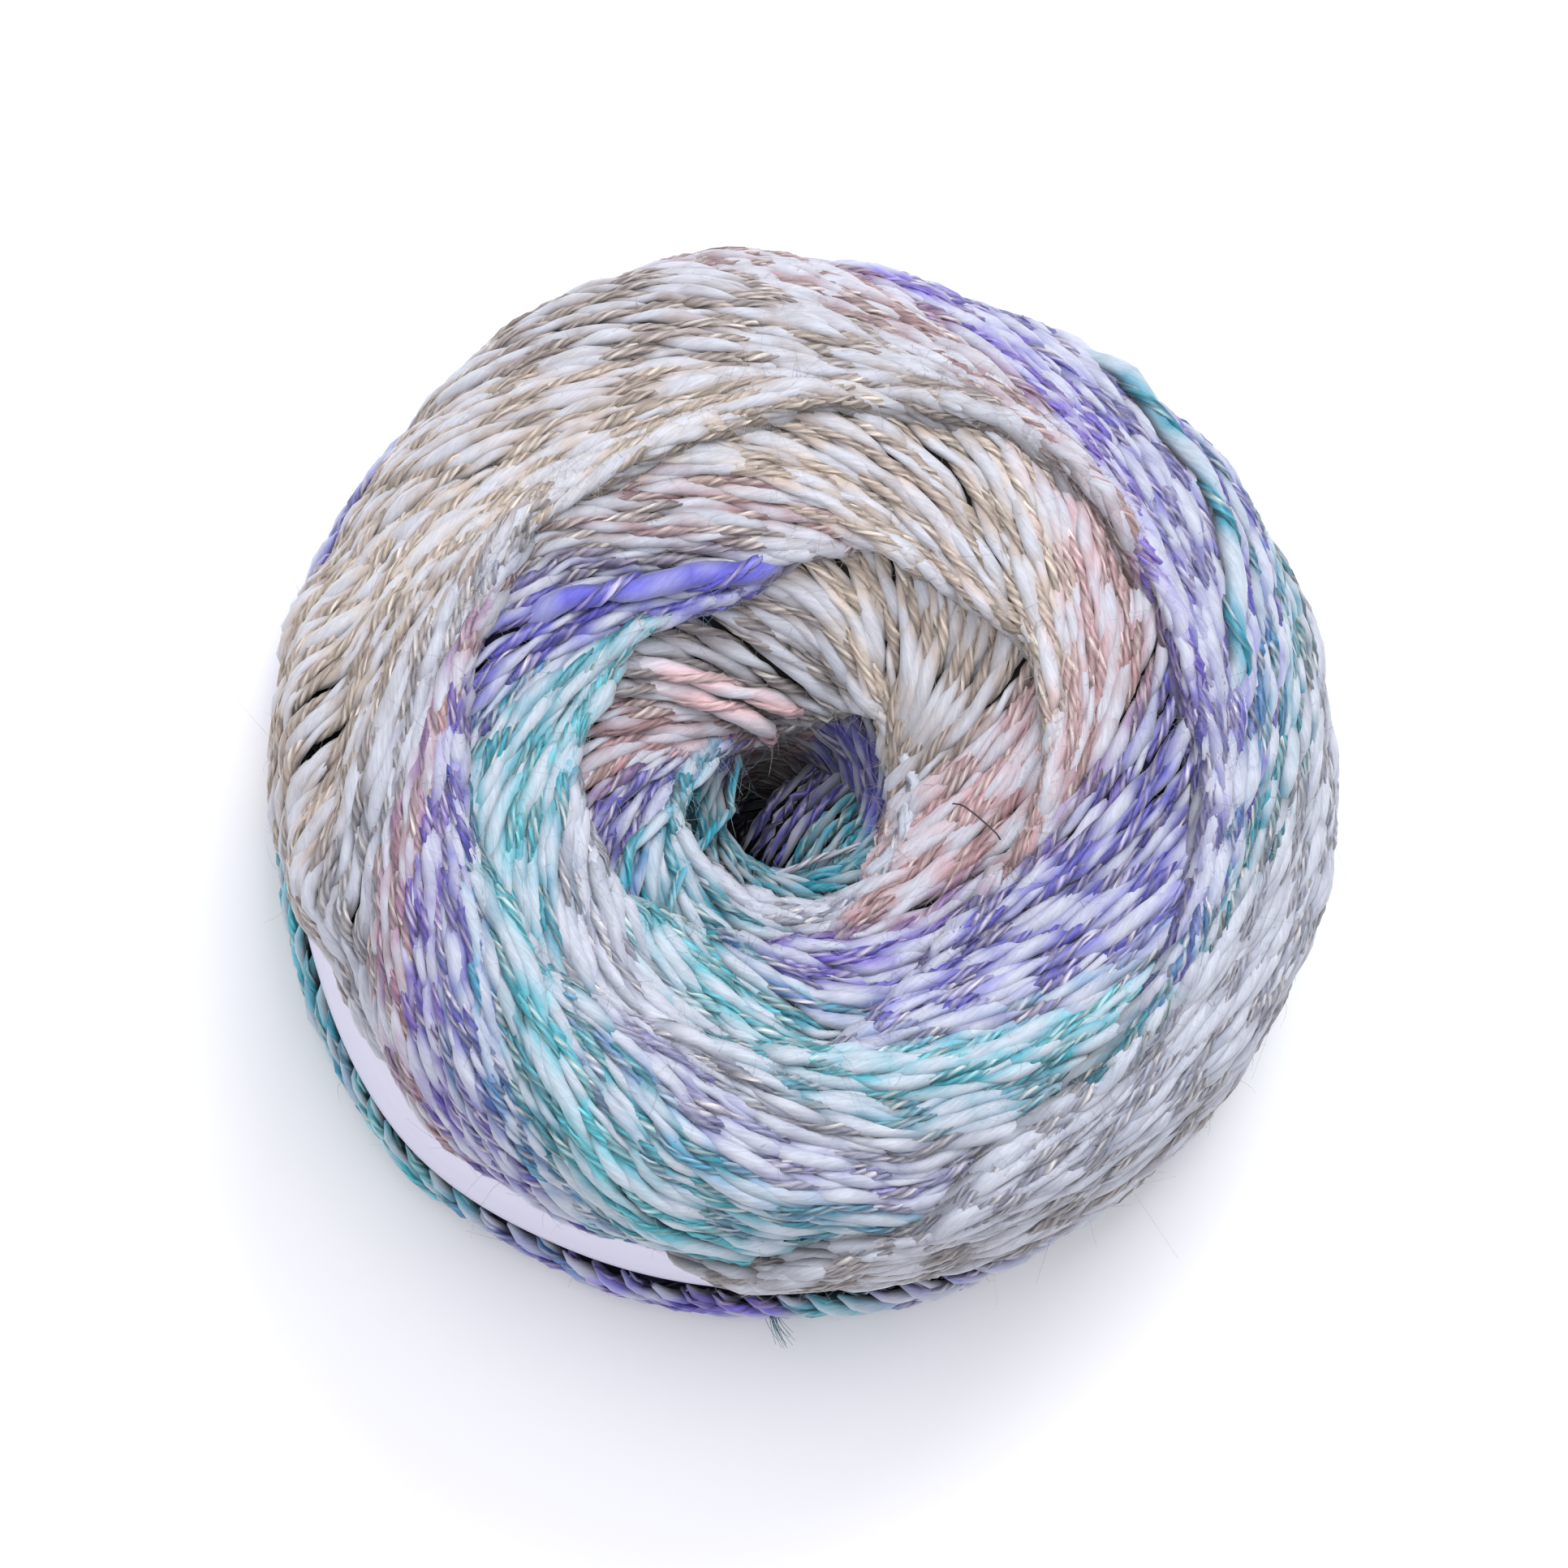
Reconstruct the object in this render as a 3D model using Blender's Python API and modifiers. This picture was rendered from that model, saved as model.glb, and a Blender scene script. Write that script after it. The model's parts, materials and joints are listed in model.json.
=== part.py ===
"""Yarn cake with its paper band: a thick-and-thin yarn wound flat round an open middle.

The wound yarn is one closed body with a hole right through it. Its top is a spiral of overlapping
layers: each layer starts at a crease, runs outwards and dips under the next crease out. A plain
paper band is wrapped round the waist. Metres, +Z up, origin at the middle of the flat underside.
"""

import math

import bmesh
import bpy

MM = 0.001

# Driving dimensions of the cake.
SIDE_REACH = 64.0 * MM  # from the middle of the hole's mouth to the side, as an average
MOUTH_FROM_MIDDLE = (-2.7 * MM, -3.65 * MM)  # the mouth lies off the middle of the cake
SEAT_REACH = 61.8  # millimetres, where the yarn is drawn in under the band
ROUND_STEPS = 72
SECTION_STEPS = 42

# The paper band round the waist.
BAND_LOW = 18.0 * MM
BAND_HIGH = 55.0 * MM
BAND_THICKNESS = 1.0 * MM
BAND_GAP = 0.3 * MM  # between the yarn and the band
BAND_STEPS = 6
BAND_MIDDLE = 95.0  # its place along the section
SEAT_ENDS = (76.5, 114.0)  # where along the section the yarn is drawn in for the band
FLAT_FROM = 139.5  # where along the section the flat underside starts

# Relief of the wound layers.
LAYER_STEP = 3.4 * MM  # a layer's edge stands this far over the layer inside it
LAYER_SINK = 0.35  # share of the step that lies below the plain shape
EDGE_ROUNDING = 3.4  # millimetres over which a layer's edge rises
TWIST_DEPTH = 0.5 * MM  # half the depth of the main twists
TWIST_EVERY = 22.5  # degrees of winding from one twist to the next
SIDE_LEAN = 2.6  # degrees that the yarn travels round for each millimetre down the side

# Where along the section the relief comes in and where it has gone, in millimetres.
TOP_ENDS = 81.0  # the top's winding passes into the side's
STEPS_COME_IN = (9.0, 14.0)
STEPS_GO = (58.0, 70.0)
TWISTS_COME_IN = (-4.0, 8.0)
TWISTS_GO = (124.0, 132.0)
BAND_COMES_IN = (70.5, 74.0)
BAND_GOES = (116.0, 118.0)

# The cake's section, from the foot of the hole up the hole, out over the top, down the side and in
# along the underside. along runs with the surface and equals the radius on the top. lean moves a
# ring's middle from the mouth's towards the upper right, spread is how much of the outline's
# unevenness the ring takes, and pitch is the spacing of the mesh's rows there.
SECTION = (
    # along, radius, height, lean, spread, pitch
    (-62.0, 6.4, 0.0, -5.0, 0.0, 6.0),
    (-56.0, 5.6, 6.0, -4.8, 0.0, 8.0),
    (-36.0, 5.4, 26.0, -4.4, 0.0, 8.0),
    (-14.0, 6.6, 44.0, -3.0, 0.0, 6.0),
    (0.0, 8.6, 53.0, -1.2, 0.0, 4.0),
    (8.0, 10.2, 58.0, -0.2, 0.0, 2.8),
    (12.0, 12.2, 62.0, 0.0, 0.0, 2.1),
    (16.0, 16.0, 65.8, -0.7, 0.0, 1.9),
    (20.0, 20.0, 68.8, -1.0, 0.0, 1.9),
    (28.0, 28.0, 73.2, -1.6, 0.05, 1.9),
    (36.0, 36.0, 76.4, -2.0, 0.1, 1.9),
    (44.0, 44.0, 77.8, -2.2, 0.25, 2.0),
    (50.0, 50.0, 76.6, -2.0, 0.45, 2.2),
    (56.0, 55.4, 73.4, -1.6, 0.7, 2.6),
    (63.0, 60.0, 67.8, -0.9, 0.9, 3.0),
    (70.0, 62.8, 61.2, -0.2, 1.0, 3.4),
    (74.0, 62.9, 57.4, 0.0, 1.0, 1.6),
    (SEAT_ENDS[0], SEAT_REACH, 55.2, 0.0, 1.0, 3.0),
    (BAND_MIDDLE, SEAT_REACH, 36.7, 0.0, 1.0, 9.0),
    (SEAT_ENDS[1], SEAT_REACH, 17.7, 0.0, 1.0, 3.0),
    (116.8, 63.4, 15.0, 0.0, 1.0, 3.0),
    (122.0, 64.0, 10.0, 0.0, 1.0, 2.6),
    (128.0, 61.8, 4.4, 0.0, 0.9, 2.4),
    (134.0, 57.0, 1.0, 0.0, 0.8, 2.6),
    (FLAT_FROM, 52.0, 0.0, 0.0, 0.7, 12.0),
    (178.5, 13.0, 0.0, -3.8, 0.0, 6.6),
    (185.1, 6.4, 0.0, -5.0, 0.0, 6.6),
)
LEAN_TOWARDS = math.radians(51.0)

# How far the side reaches from the middle of the mouth, going round.
OUTLINE = (
    # towards, reach
    (0.0, 66.6),
    (20.0, 67.0),
    (45.0, 66.6),
    (70.0, 65.2),
    (85.0, 66.0),
    (105.0, 68.0),
    (125.0, 67.2),
    (145.0, 65.6),
    (170.0, 61.8),
    (195.0, 60.8),
    (222.0, 62.0),
    (245.0, 60.2),
    (270.0, 59.4),
    (300.0, 61.8),
    (330.0, 64.6),
    (360.0, 66.6),
)

# The winding, from the outermost layer's end inwards. turn counts the degrees round the cake, a
# full layer every 360; crease is where the layer's inner edge lies along the section; sweep is how
# far round the yarn travels from its crease to the next one out; rise bends that path.
WINDING = (
    # turn, crease, sweep, rise
    (235.0, 81.0, 40.0, 1.6),
    (255.0, 66.0, 50.0, 1.8),
    (270.0, 57.0, 60.0, 2.0),
    (300.0, 50.5, 75.0, 2.4),
    (330.0, 49.8, 72.0, 2.3),
    (375.0, 49.8, 68.0, 2.2),
    (420.0, 51.6, 56.0, 1.8),
    (450.0, 47.8, 75.0, 2.8),
    (480.0, 45.3, 75.0, 2.1),
    (510.0, 44.7, 72.0, 2.2),
    (540.0, 42.0, 67.0, 2.0),
    (570.0, 39.0, 62.0, 1.8),
    (600.0, 34.9, 66.0, 1.8),
    (630.0, 32.9, 68.0, 1.9),
    (660.0, 28.2, 58.0, 1.9),
    (690.0, 26.8, 52.0, 1.7),
    (720.0, 31.2, 46.0, 1.4),
    (750.0, 34.0, 42.0, 1.5),
    (780.0, 32.2, 46.0, 1.6),
    (810.0, 30.0, 48.0, 1.6),
    (835.0, 26.5, 50.0, 1.8),
    (870.0, 28.2, 47.0, 1.6),
    (900.0, 29.0, 47.0, 1.6),
    (930.0, 27.1, 48.0, 1.4),
    (960.0, 22.4, 47.0, 1.6),
    (990.0, 20.3, 52.0, 1.8),
    (1020.0, 15.0, 63.0, 2.2),
    (1050.0, 11.0, 58.0, 2.6),
    (1095.0, 10.6, 48.0, 2.3),
    (1128.0, 14.0, 66.0, 2.3),
    (1160.0, 8.6, 60.0, 2.2),
    (1200.0, 7.6, 56.0, 1.8),
    (1260.0, 8.0, 60.0, 2.4),
    (1300.0, 12.6, 80.0, 2.2),
    (1400.0, 13.8, 75.0, 2.0),
)


def from_rows(rows, column, at):
    """A column's value at a place between a table's rows, on a smooth curve through them."""
    if at <= rows[0][0]:
        return rows[0][column]
    if at >= rows[-1][0]:
        return rows[-1][column]
    upper = next(k for k in range(1, len(rows)) if rows[k][0] >= at)
    row_0 = rows[upper - 1]
    row_1 = rows[upper]
    before = rows[max(upper - 2, 0)]
    after = rows[min(upper + 1, len(rows) - 1)]
    width = row_1[0] - row_0[0]
    slope_0 = width * (row_1[column] - before[column]) / (row_1[0] - before[0])
    slope_1 = width * (after[column] - row_0[column]) / (after[0] - row_0[0])
    # A curve that never passes beyond its rows keeps flats flat and walls straight.
    step = row_1[column] - row_0[column]
    slope_0 = limited(slope_0, step)
    slope_1 = limited(slope_1, step)
    t = (at - row_0[0]) / width
    return (
        row_0[column]
        + step * t * t * (3.0 - 2.0 * t)
        + slope_0 * t * (1.0 - t) ** 2
        - slope_1 * t * t * (1.0 - t)
    )


def limited(slope, step):
    """A slope at a row, held between nothing and three times the step beside it."""
    if slope * step <= 0.0:
        return 0.0
    return math.copysign(min(abs(slope), 3.0 * abs(step)), step)


def smooth_step(value, low, high):
    """0 below low, 1 above high, and an S-shaped ramp between."""
    t = min(1.0, max(0.0, (value - low) / (high - low)))
    return t * t * (3.0 - 2.0 * t)


def section_rows():
    """Places along the section for the mesh's rows, closer where the pitch is small."""
    fine = 2000
    first = SECTION[0][0]
    last = SECTION[-1][0]
    places = [first + (last - first) * (k + 0.5) / fine for k in range(fine)]
    weights = [1.0 / from_rows(SECTION, 5, place) for place in places]
    total = sum(weights)
    rows = [first]
    spent = 0.0
    for place, weight in zip(places, weights):
        spent += weight
        if spent >= total * len(rows) / SECTION_STEPS and len(rows) < SECTION_STEPS:
            rows.append(place)
    for kept in (*SEAT_ENDS, FLAT_FROM):
        nearest = min(range(len(rows)), key=lambda k: abs(rows[k] - kept))
        rows[nearest] = kept
    return rows


def layer_at(degrees, along):
    """The layer on top there: (its crease, share of the way to the next crease out, start turn)."""
    outer = TOP_ENDS
    turn = degrees % 360.0
    while turn < WINDING[-1][0]:
        crease = from_rows(WINDING, 1, turn)
        if turn >= WINDING[0][0] and along >= crease:
            break
        if turn >= WINDING[0][0]:
            outer = crease
        turn += 360.0
    crease = from_rows(WINDING, 1, turn)
    share = min(1.0, max(0.0, (along - crease) / max(outer - crease, 1.0)))
    sweep = from_rows(WINDING, 2, turn)
    rise = from_rows(WINDING, 3, turn)
    start = turn - sweep * share ** (1.0 / rise)
    start -= SIDE_LEAN * max(0.0, along - TOP_ENDS)
    return crease, share, start


def relief(degrees, along):
    """How far the layers and the main twists stand out from the plain shape, in metres."""
    crease, share, start = layer_at(degrees, along)
    on_top = smooth_step(along, *STEPS_COME_IN) * (1.0 - smooth_step(along, *STEPS_GO))
    edge = smooth_step(along - crease, 0.0, EDGE_ROUNDING)
    step = LAYER_STEP * (edge * (1.0 - share) - LAYER_SINK)
    wound = smooth_step(along, *TWISTS_COME_IN) * (1.0 - smooth_step(along, *TWISTS_GO))
    in_band = smooth_step(along, *BAND_COMES_IN) * (1.0 - smooth_step(along, *BAND_GOES))
    twist = TWIST_DEPTH * math.cos(math.tau * start / TWIST_EVERY)
    return step * on_top + twist * wound * edge * (1.0 - in_band)


def ring_point(degrees, along, radius, height):
    """A point at this radius and height, on the cake's own uneven, leaning ring."""
    angle = math.radians(degrees)
    spread = from_rows(SECTION, 4, along)
    lean = from_rows(SECTION, 3, along) * MM
    reach = radius + spread * (from_rows(OUTLINE, 1, degrees % 360.0) * MM - SIDE_REACH)
    return (
        MOUTH_FROM_MIDDLE[0] + lean * math.cos(LEAN_TOWARDS) + reach * math.cos(angle),
        MOUTH_FROM_MIDDLE[1] + lean * math.sin(LEAN_TOWARDS) + reach * math.sin(angle),
        height,
    )


def cake_point(degrees, along):
    """A point of the wound body's surface."""
    slope_step = 0.2
    radius = from_rows(SECTION, 1, along) * MM
    height = from_rows(SECTION, 2, along) * MM
    run = from_rows(SECTION, 1, along + slope_step) - from_rows(SECTION, 1, along - slope_step)
    fall = from_rows(SECTION, 2, along - slope_step) - from_rows(SECTION, 2, along + slope_step)
    length = max(math.hypot(run, fall), 1e-6)
    out = relief(degrees, along)
    return ring_point(degrees, along, radius + out * fall / length, height + out * run / length)


def add_turned(name, profile, closed, collection):
    """A new object, turned once round Z from (radius, height) points by a Screw modifier."""
    mesh = bpy.data.meshes.new(name)
    piece = bpy.data.objects.new(name, mesh)
    collection.objects.link(piece)
    points = bmesh.new()
    verts = [points.verts.new((radius, 0.0, height)) for radius, height in profile]
    for first, second in zip(verts, verts[1:]):
        points.edges.new((first, second))
    if closed:
        points.edges.new((verts[-1], verts[0]))
    points.to_mesh(mesh)
    points.free()
    screw = piece.modifiers.new("Turn", "SCREW")
    screw.steps = ROUND_STEPS
    screw.render_steps = ROUND_STEPS
    screw.use_merge_vertices = True
    screw.merge_threshold = 0.00001
    apply_modifiers(piece)
    return piece


def apply_modifiers(piece):
    """Makes the object's mesh what its modifiers give."""
    depsgraph = bpy.context.evaluated_depsgraph_get()
    finished = bpy.data.meshes.new_from_object(piece.evaluated_get(depsgraph))
    old = piece.data
    piece.modifiers.clear()
    piece.data = finished
    finished.name = piece.name
    bpy.data.meshes.remove(old)


def shape_rows(piece, rows, place):
    """Moves each point of a turned object to place(degrees, row), by the row that it lies on."""
    shape = bmesh.new()
    shape.from_mesh(piece.data)
    for vert in shape.verts:
        radius = math.hypot(vert.co.x, vert.co.y)
        row = min(rows, key=lambda r: abs(r[1] - radius) + abs(r[2] - vert.co.z))
        vert.co = place(math.degrees(math.atan2(vert.co.y, vert.co.x)), row)
    bmesh.ops.recalc_face_normals(shape, faces=shape.faces)
    shape.to_mesh(piece.data)
    shape.free()
    piece.data.shade_smooth()


def add_material(piece, name, colour, roughness):
    """Gives an object its own plain material."""
    material = bpy.data.materials.new(name)
    material.use_nodes = True
    shader = material.node_tree.nodes["Principled BSDF"]
    shader.inputs["Base Color"].default_value = (*colour, 1.0)
    shader.inputs["Roughness"].default_value = roughness
    shader.inputs["Metallic"].default_value = 0.0
    piece.data.materials.append(material)


def build_yarn_cake(collection):
    """The wound yarn, with its layers, main twists and hole."""
    rows = []
    for along in section_rows():
        rows.append((along, from_rows(SECTION, 1, along) * MM, from_rows(SECTION, 2, along) * MM))
    profile = [(radius, height) for _, radius, height in rows]
    cake = add_turned("yarn_cake", profile, True, collection)
    shape_rows(cake, rows, lambda degrees, row: cake_point(degrees, row[0]))
    add_material(cake, "dyed_yarn", (0.35, 0.36, 0.46), 0.85)


def build_paper_band(collection):
    """The paper band, a sleeve of even height that follows the cake's outline."""
    inner_face = SEAT_REACH * MM + BAND_GAP
    rows = []
    for step in range(BAND_STEPS + 1):
        height = BAND_HIGH + (BAND_LOW - BAND_HIGH) * step / BAND_STEPS
        rows.append((BAND_MIDDLE, inner_face, height))
    profile = [(radius, height) for _, radius, height in rows]
    band = add_turned("paper_band", profile, False, collection)
    shape_rows(band, rows, lambda degrees, row: ring_point(degrees, *row))
    wall = band.modifiers.new("Paper", "SOLIDIFY")
    wall.thickness = BAND_THICKNESS
    wall.offset = 1.0
    add_material(band, "band_paper", (0.78, 0.78, 0.82), 0.7)


def main():
    """Clears the scene and builds the two parts in their own collection."""
    for old in list(bpy.data.objects):
        bpy.data.objects.remove(old, do_unlink=True)
    collection = bpy.data.collections.new("yarn_cake_with_band")
    bpy.context.scene.collection.children.link(collection)
    build_yarn_cake(collection)
    build_paper_band(collection)


main()
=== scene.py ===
"""A cake of thick-and-thin two-ply yarn with its paper band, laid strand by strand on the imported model.

Each strand starts at the crease of its layer, runs outwards over the top and dips under the next
layer's crease. A strand is two plies twisted round each other: a soft white slub ply, which swells
and thins, and a shiny dyed ply of long filaments. Lengths are in millimetres until a mesh is made.
"""

import json
import logging
import math
from dataclasses import dataclass, field
from enum import Enum

import bmesh
import bpy
import numpy as np
from mathutils import Matrix, Vector
from mathutils.kdtree import KDTree

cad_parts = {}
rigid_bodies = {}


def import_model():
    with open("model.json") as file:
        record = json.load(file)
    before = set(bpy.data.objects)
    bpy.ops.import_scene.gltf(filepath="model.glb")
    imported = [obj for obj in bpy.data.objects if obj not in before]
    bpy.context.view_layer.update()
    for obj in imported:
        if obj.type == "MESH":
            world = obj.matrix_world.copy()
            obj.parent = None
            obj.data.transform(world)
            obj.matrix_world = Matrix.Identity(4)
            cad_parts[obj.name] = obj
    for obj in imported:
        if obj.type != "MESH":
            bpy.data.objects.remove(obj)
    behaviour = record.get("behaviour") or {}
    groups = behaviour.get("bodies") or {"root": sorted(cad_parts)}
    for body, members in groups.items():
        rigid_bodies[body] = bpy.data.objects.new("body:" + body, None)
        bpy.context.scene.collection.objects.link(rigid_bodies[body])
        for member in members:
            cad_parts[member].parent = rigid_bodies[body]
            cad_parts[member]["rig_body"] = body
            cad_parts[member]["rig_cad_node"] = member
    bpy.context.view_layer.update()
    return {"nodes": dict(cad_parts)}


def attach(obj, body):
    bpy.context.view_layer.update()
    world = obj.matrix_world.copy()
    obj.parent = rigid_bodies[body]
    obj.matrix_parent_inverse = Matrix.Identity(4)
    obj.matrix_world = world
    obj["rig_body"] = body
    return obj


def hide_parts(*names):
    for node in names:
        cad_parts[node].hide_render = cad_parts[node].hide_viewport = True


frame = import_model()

MM = 0.001
LOG = logging.getLogger("yarn_cake")


class Zone(Enum):
    """Where on the cake a strand lies."""

    TOP = "top"
    FOOT = "foot"
    UNDERSIDE = "underside"
    HOLE = "hole"


class Rows:
    """A table read on a smooth curve through its rows, which never passes beyond them."""

    def __init__(self, rows: tuple[tuple[float, ...], ...]) -> None:
        """Keeps the rows as an array.

        Args:
            rows: rows of numbers, the first column rising.
        """
        self.table = np.array(rows, dtype=float)

    def read(self, column: int, at: np.ndarray) -> np.ndarray:
        """Reads one column.

        Args:
            column: the column's number.
            at: places along the first column.

        Returns:
            The column's values there.
        """
        x = self.table[:, 0]
        y = self.table[:, column]
        steps = np.diff(y)
        widths = np.diff(x)
        chords = steps / widths
        slopes = np.empty_like(y)
        slopes[0] = chords[0]
        slopes[-1] = chords[-1]
        slopes[1:-1] = (y[2:] - y[:-2]) / (x[2:] - x[:-2])
        at = np.clip(np.asarray(at, dtype=float), x[0], x[-1])
        low = np.clip(np.searchsorted(x, at, side="right") - 1, 0, len(x) - 2)
        slope_0 = self._limited(slopes[low], chords[low])
        slope_1 = self._limited(slopes[low + 1], chords[low])
        t = (at - x[low]) / widths[low]
        return (
            y[low]
            + steps[low] * t * t * (3.0 - 2.0 * t)
            + slope_0 * widths[low] * t * (1.0 - t) ** 2
            - slope_1 * widths[low] * t * t * (1.0 - t)
        )

    @staticmethod
    def _limited(slopes: np.ndarray, chords: np.ndarray) -> np.ndarray:
        """Slopes held between nothing and three times the chord beside them."""
        held = np.minimum(np.abs(slopes), 3.0 * np.abs(chords)) * np.sign(chords)
        return np.where(slopes * chords <= 0.0, 0.0, held)


def smooth_step(value: np.ndarray, low: float, high: float) -> np.ndarray:
    """0 below low, 1 above high, and an S-shaped ramp between."""
    t = np.clip((np.asarray(value, dtype=float) - low) / (high - low), 0.0, 1.0)
    return t * t * (3.0 - 2.0 * t)


def linear(hex_colour: str) -> np.ndarray:
    """Turns an sRGB hex colour to linear red, green and blue."""
    srgb = np.array([int(hex_colour[k : k + 2], 16) / 255.0 for k in (1, 3, 5)])
    return np.where(srgb <= 0.04045, srgb / 12.92, ((srgb + 0.055) / 1.055) ** 2.4)


class Wander:
    """Smooth random wandering along a strand: a sum of a few sines with seeded phases."""

    def __init__(self, rng: np.random.Generator, wavelengths: tuple[float, ...]) -> None:
        """Draws the phases.

        Args:
            rng: the source of chance.
            wavelengths: in millimetres.
        """
        self.wavelengths = np.array(wavelengths)
        self.phases = rng.uniform(0.0, math.tau, len(wavelengths))

    def at(self, length: np.ndarray) -> np.ndarray:
        """The wandering at these lengths along the strand, mostly within -1 to 1."""
        waves = np.sin(math.tau * length[:, None] / self.wavelengths + self.phases)
        return waves.sum(axis=1) / math.sqrt(len(self.wavelengths))


@dataclass
class CakeForm:
    """The plain shape that the yarn is wound on, in the CAD model's own sizes."""

    mouth: tuple[float, float] = (-2.7, -3.65)
    side_reach: float = 64.0
    lean_towards: float = math.radians(51.0)
    layer_step: float = 3.4
    layer_sink: float = 0.35
    section: Rows = field(
        default_factory=lambda: Rows(
            (
                # along, radius, height, lean, spread
                (-62.0, 6.4, 0.0, -5.0, 0.0),
                (-56.0, 5.6, 6.0, -4.8, 0.0),
                (-36.0, 5.4, 26.0, -4.4, 0.0),
                (-14.0, 6.6, 44.0, -3.0, 0.0),
                (0.0, 8.6, 53.0, -1.2, 0.0),
                (8.0, 10.2, 58.0, -0.2, 0.0),
                (12.0, 12.2, 62.0, 0.0, 0.0),
                (16.0, 16.0, 65.8, -0.7, 0.0),
                (20.0, 20.0, 68.8, -1.0, 0.0),
                (28.0, 28.0, 73.2, -1.6, 0.05),
                (36.0, 36.0, 76.4, -2.0, 0.1),
                (44.0, 44.0, 77.8, -2.2, 0.25),
                (50.0, 50.0, 76.6, -2.0, 0.45),
                (56.0, 55.4, 73.4, -1.6, 0.7),
                (63.0, 60.0, 67.8, -0.9, 0.9),
                (70.0, 62.8, 61.2, -0.2, 1.0),
                (74.0, 62.9, 57.4, 0.0, 1.0),
                (76.5, 61.8, 55.2, 0.0, 1.0),
                (95.0, 61.8, 36.7, 0.0, 1.0),
                (114.0, 61.8, 17.7, 0.0, 1.0),
                (116.8, 63.4, 15.0, 0.0, 1.0),
                (122.0, 64.0, 10.0, 0.0, 1.0),
                (128.0, 61.8, 4.4, 0.0, 0.9),
                (134.0, 57.0, 1.0, 0.0, 0.8),
                (139.5, 52.0, 0.0, 0.0, 0.7),
                (178.5, 13.0, 0.0, -3.8, 0.0),
                (185.1, 6.4, 0.0, -5.0, 0.0),
            )
        )
    )
    outline: Rows = field(
        default_factory=lambda: Rows(
            (
                # towards, reach
                (0.0, 66.6),
                (20.0, 67.0),
                (45.0, 66.6),
                (70.0, 65.2),
                (85.0, 66.0),
                (105.0, 68.0),
                (125.0, 67.2),
                (145.0, 65.6),
                (170.0, 61.8),
                (195.0, 60.8),
                (222.0, 62.0),
                (245.0, 60.2),
                (270.0, 59.4),
                (300.0, 61.8),
                (330.0, 64.6),
                (360.0, 66.6),
            )
        )
    )
    swells: tuple[tuple[float, ...], ...] = (
        # towards, half the width in degrees, along, half the length, how far out
        (177.0, 26.0, 67.0, 8.6, 4.4),
        (270.0, 30.0, 121.0, 9.0, 1.0),
    )

    def swell(self, degrees: np.ndarray, along: np.ndarray) -> np.ndarray:
        """How far the swells push the surface out at these places."""
        out = 0.0
        for towards, width, middle, length, height in self.swells:
            off = np.abs(np.mod(degrees - towards + 180.0, 360.0) - 180.0) / width
            beside = np.abs(along - middle) / length
            out = out + height * smooth_step(1.0 - off, 0.0, 0.5) * smooth_step(1.0 - beside, 0.0, 0.6)
        return out

    def normal(self, along: np.ndarray) -> tuple[np.ndarray, np.ndarray]:
        """The section's outward normal, as its share outwards and its share upwards."""
        step = 0.2
        run = self.section.read(1, along + step) - self.section.read(1, along - step)
        fall = self.section.read(2, along - step) - self.section.read(2, along + step)
        length = np.maximum(np.hypot(run, fall), 1e-6)
        return fall / length, run / length

    def place(self, degrees: np.ndarray, along: np.ndarray, lift: np.ndarray) -> np.ndarray:
        """Places on the cake.

        Args:
            degrees: the angle round the mouth.
            along: the place along the section.
            lift: how far the place stands out from the plain shape.

        Returns:
            An array of points in millimetres.
        """
        angle = np.radians(degrees)
        outwards, upwards = self.normal(along)
        lean = self.section.read(3, along)
        uneven = self.outline.read(1, np.mod(degrees, 360.0)) - self.side_reach
        reach = self.section.read(1, along) + outwards * lift + self.section.read(4, along) * uneven
        reach = reach + self.swell(degrees, along)
        return np.stack(
            (
                self.mouth[0] + lean * math.cos(self.lean_towards) + reach * np.cos(angle),
                self.mouth[1] + lean * math.sin(self.lean_towards) + reach * np.sin(angle),
                self.section.read(2, along) + upwards * lift,
            ),
            axis=-1,
        )

    def along_at(self, degrees: np.ndarray, seen: np.ndarray) -> np.ndarray:
        """The places on the top that are seen at these distances from the mouth's middle."""
        places = np.linspace(4.0, 71.0, 135)
        radius = self.section.read(1, places)
        spread = self.section.read(4, places)
        uneven = self.outline.read(1, np.mod(degrees, 360.0)) - self.side_reach
        found = np.empty(len(seen))
        for k, (distance, extra) in enumerate(zip(seen, uneven)):
            found[k] = np.interp(distance, radius + spread * extra, places)
        return found


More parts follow.
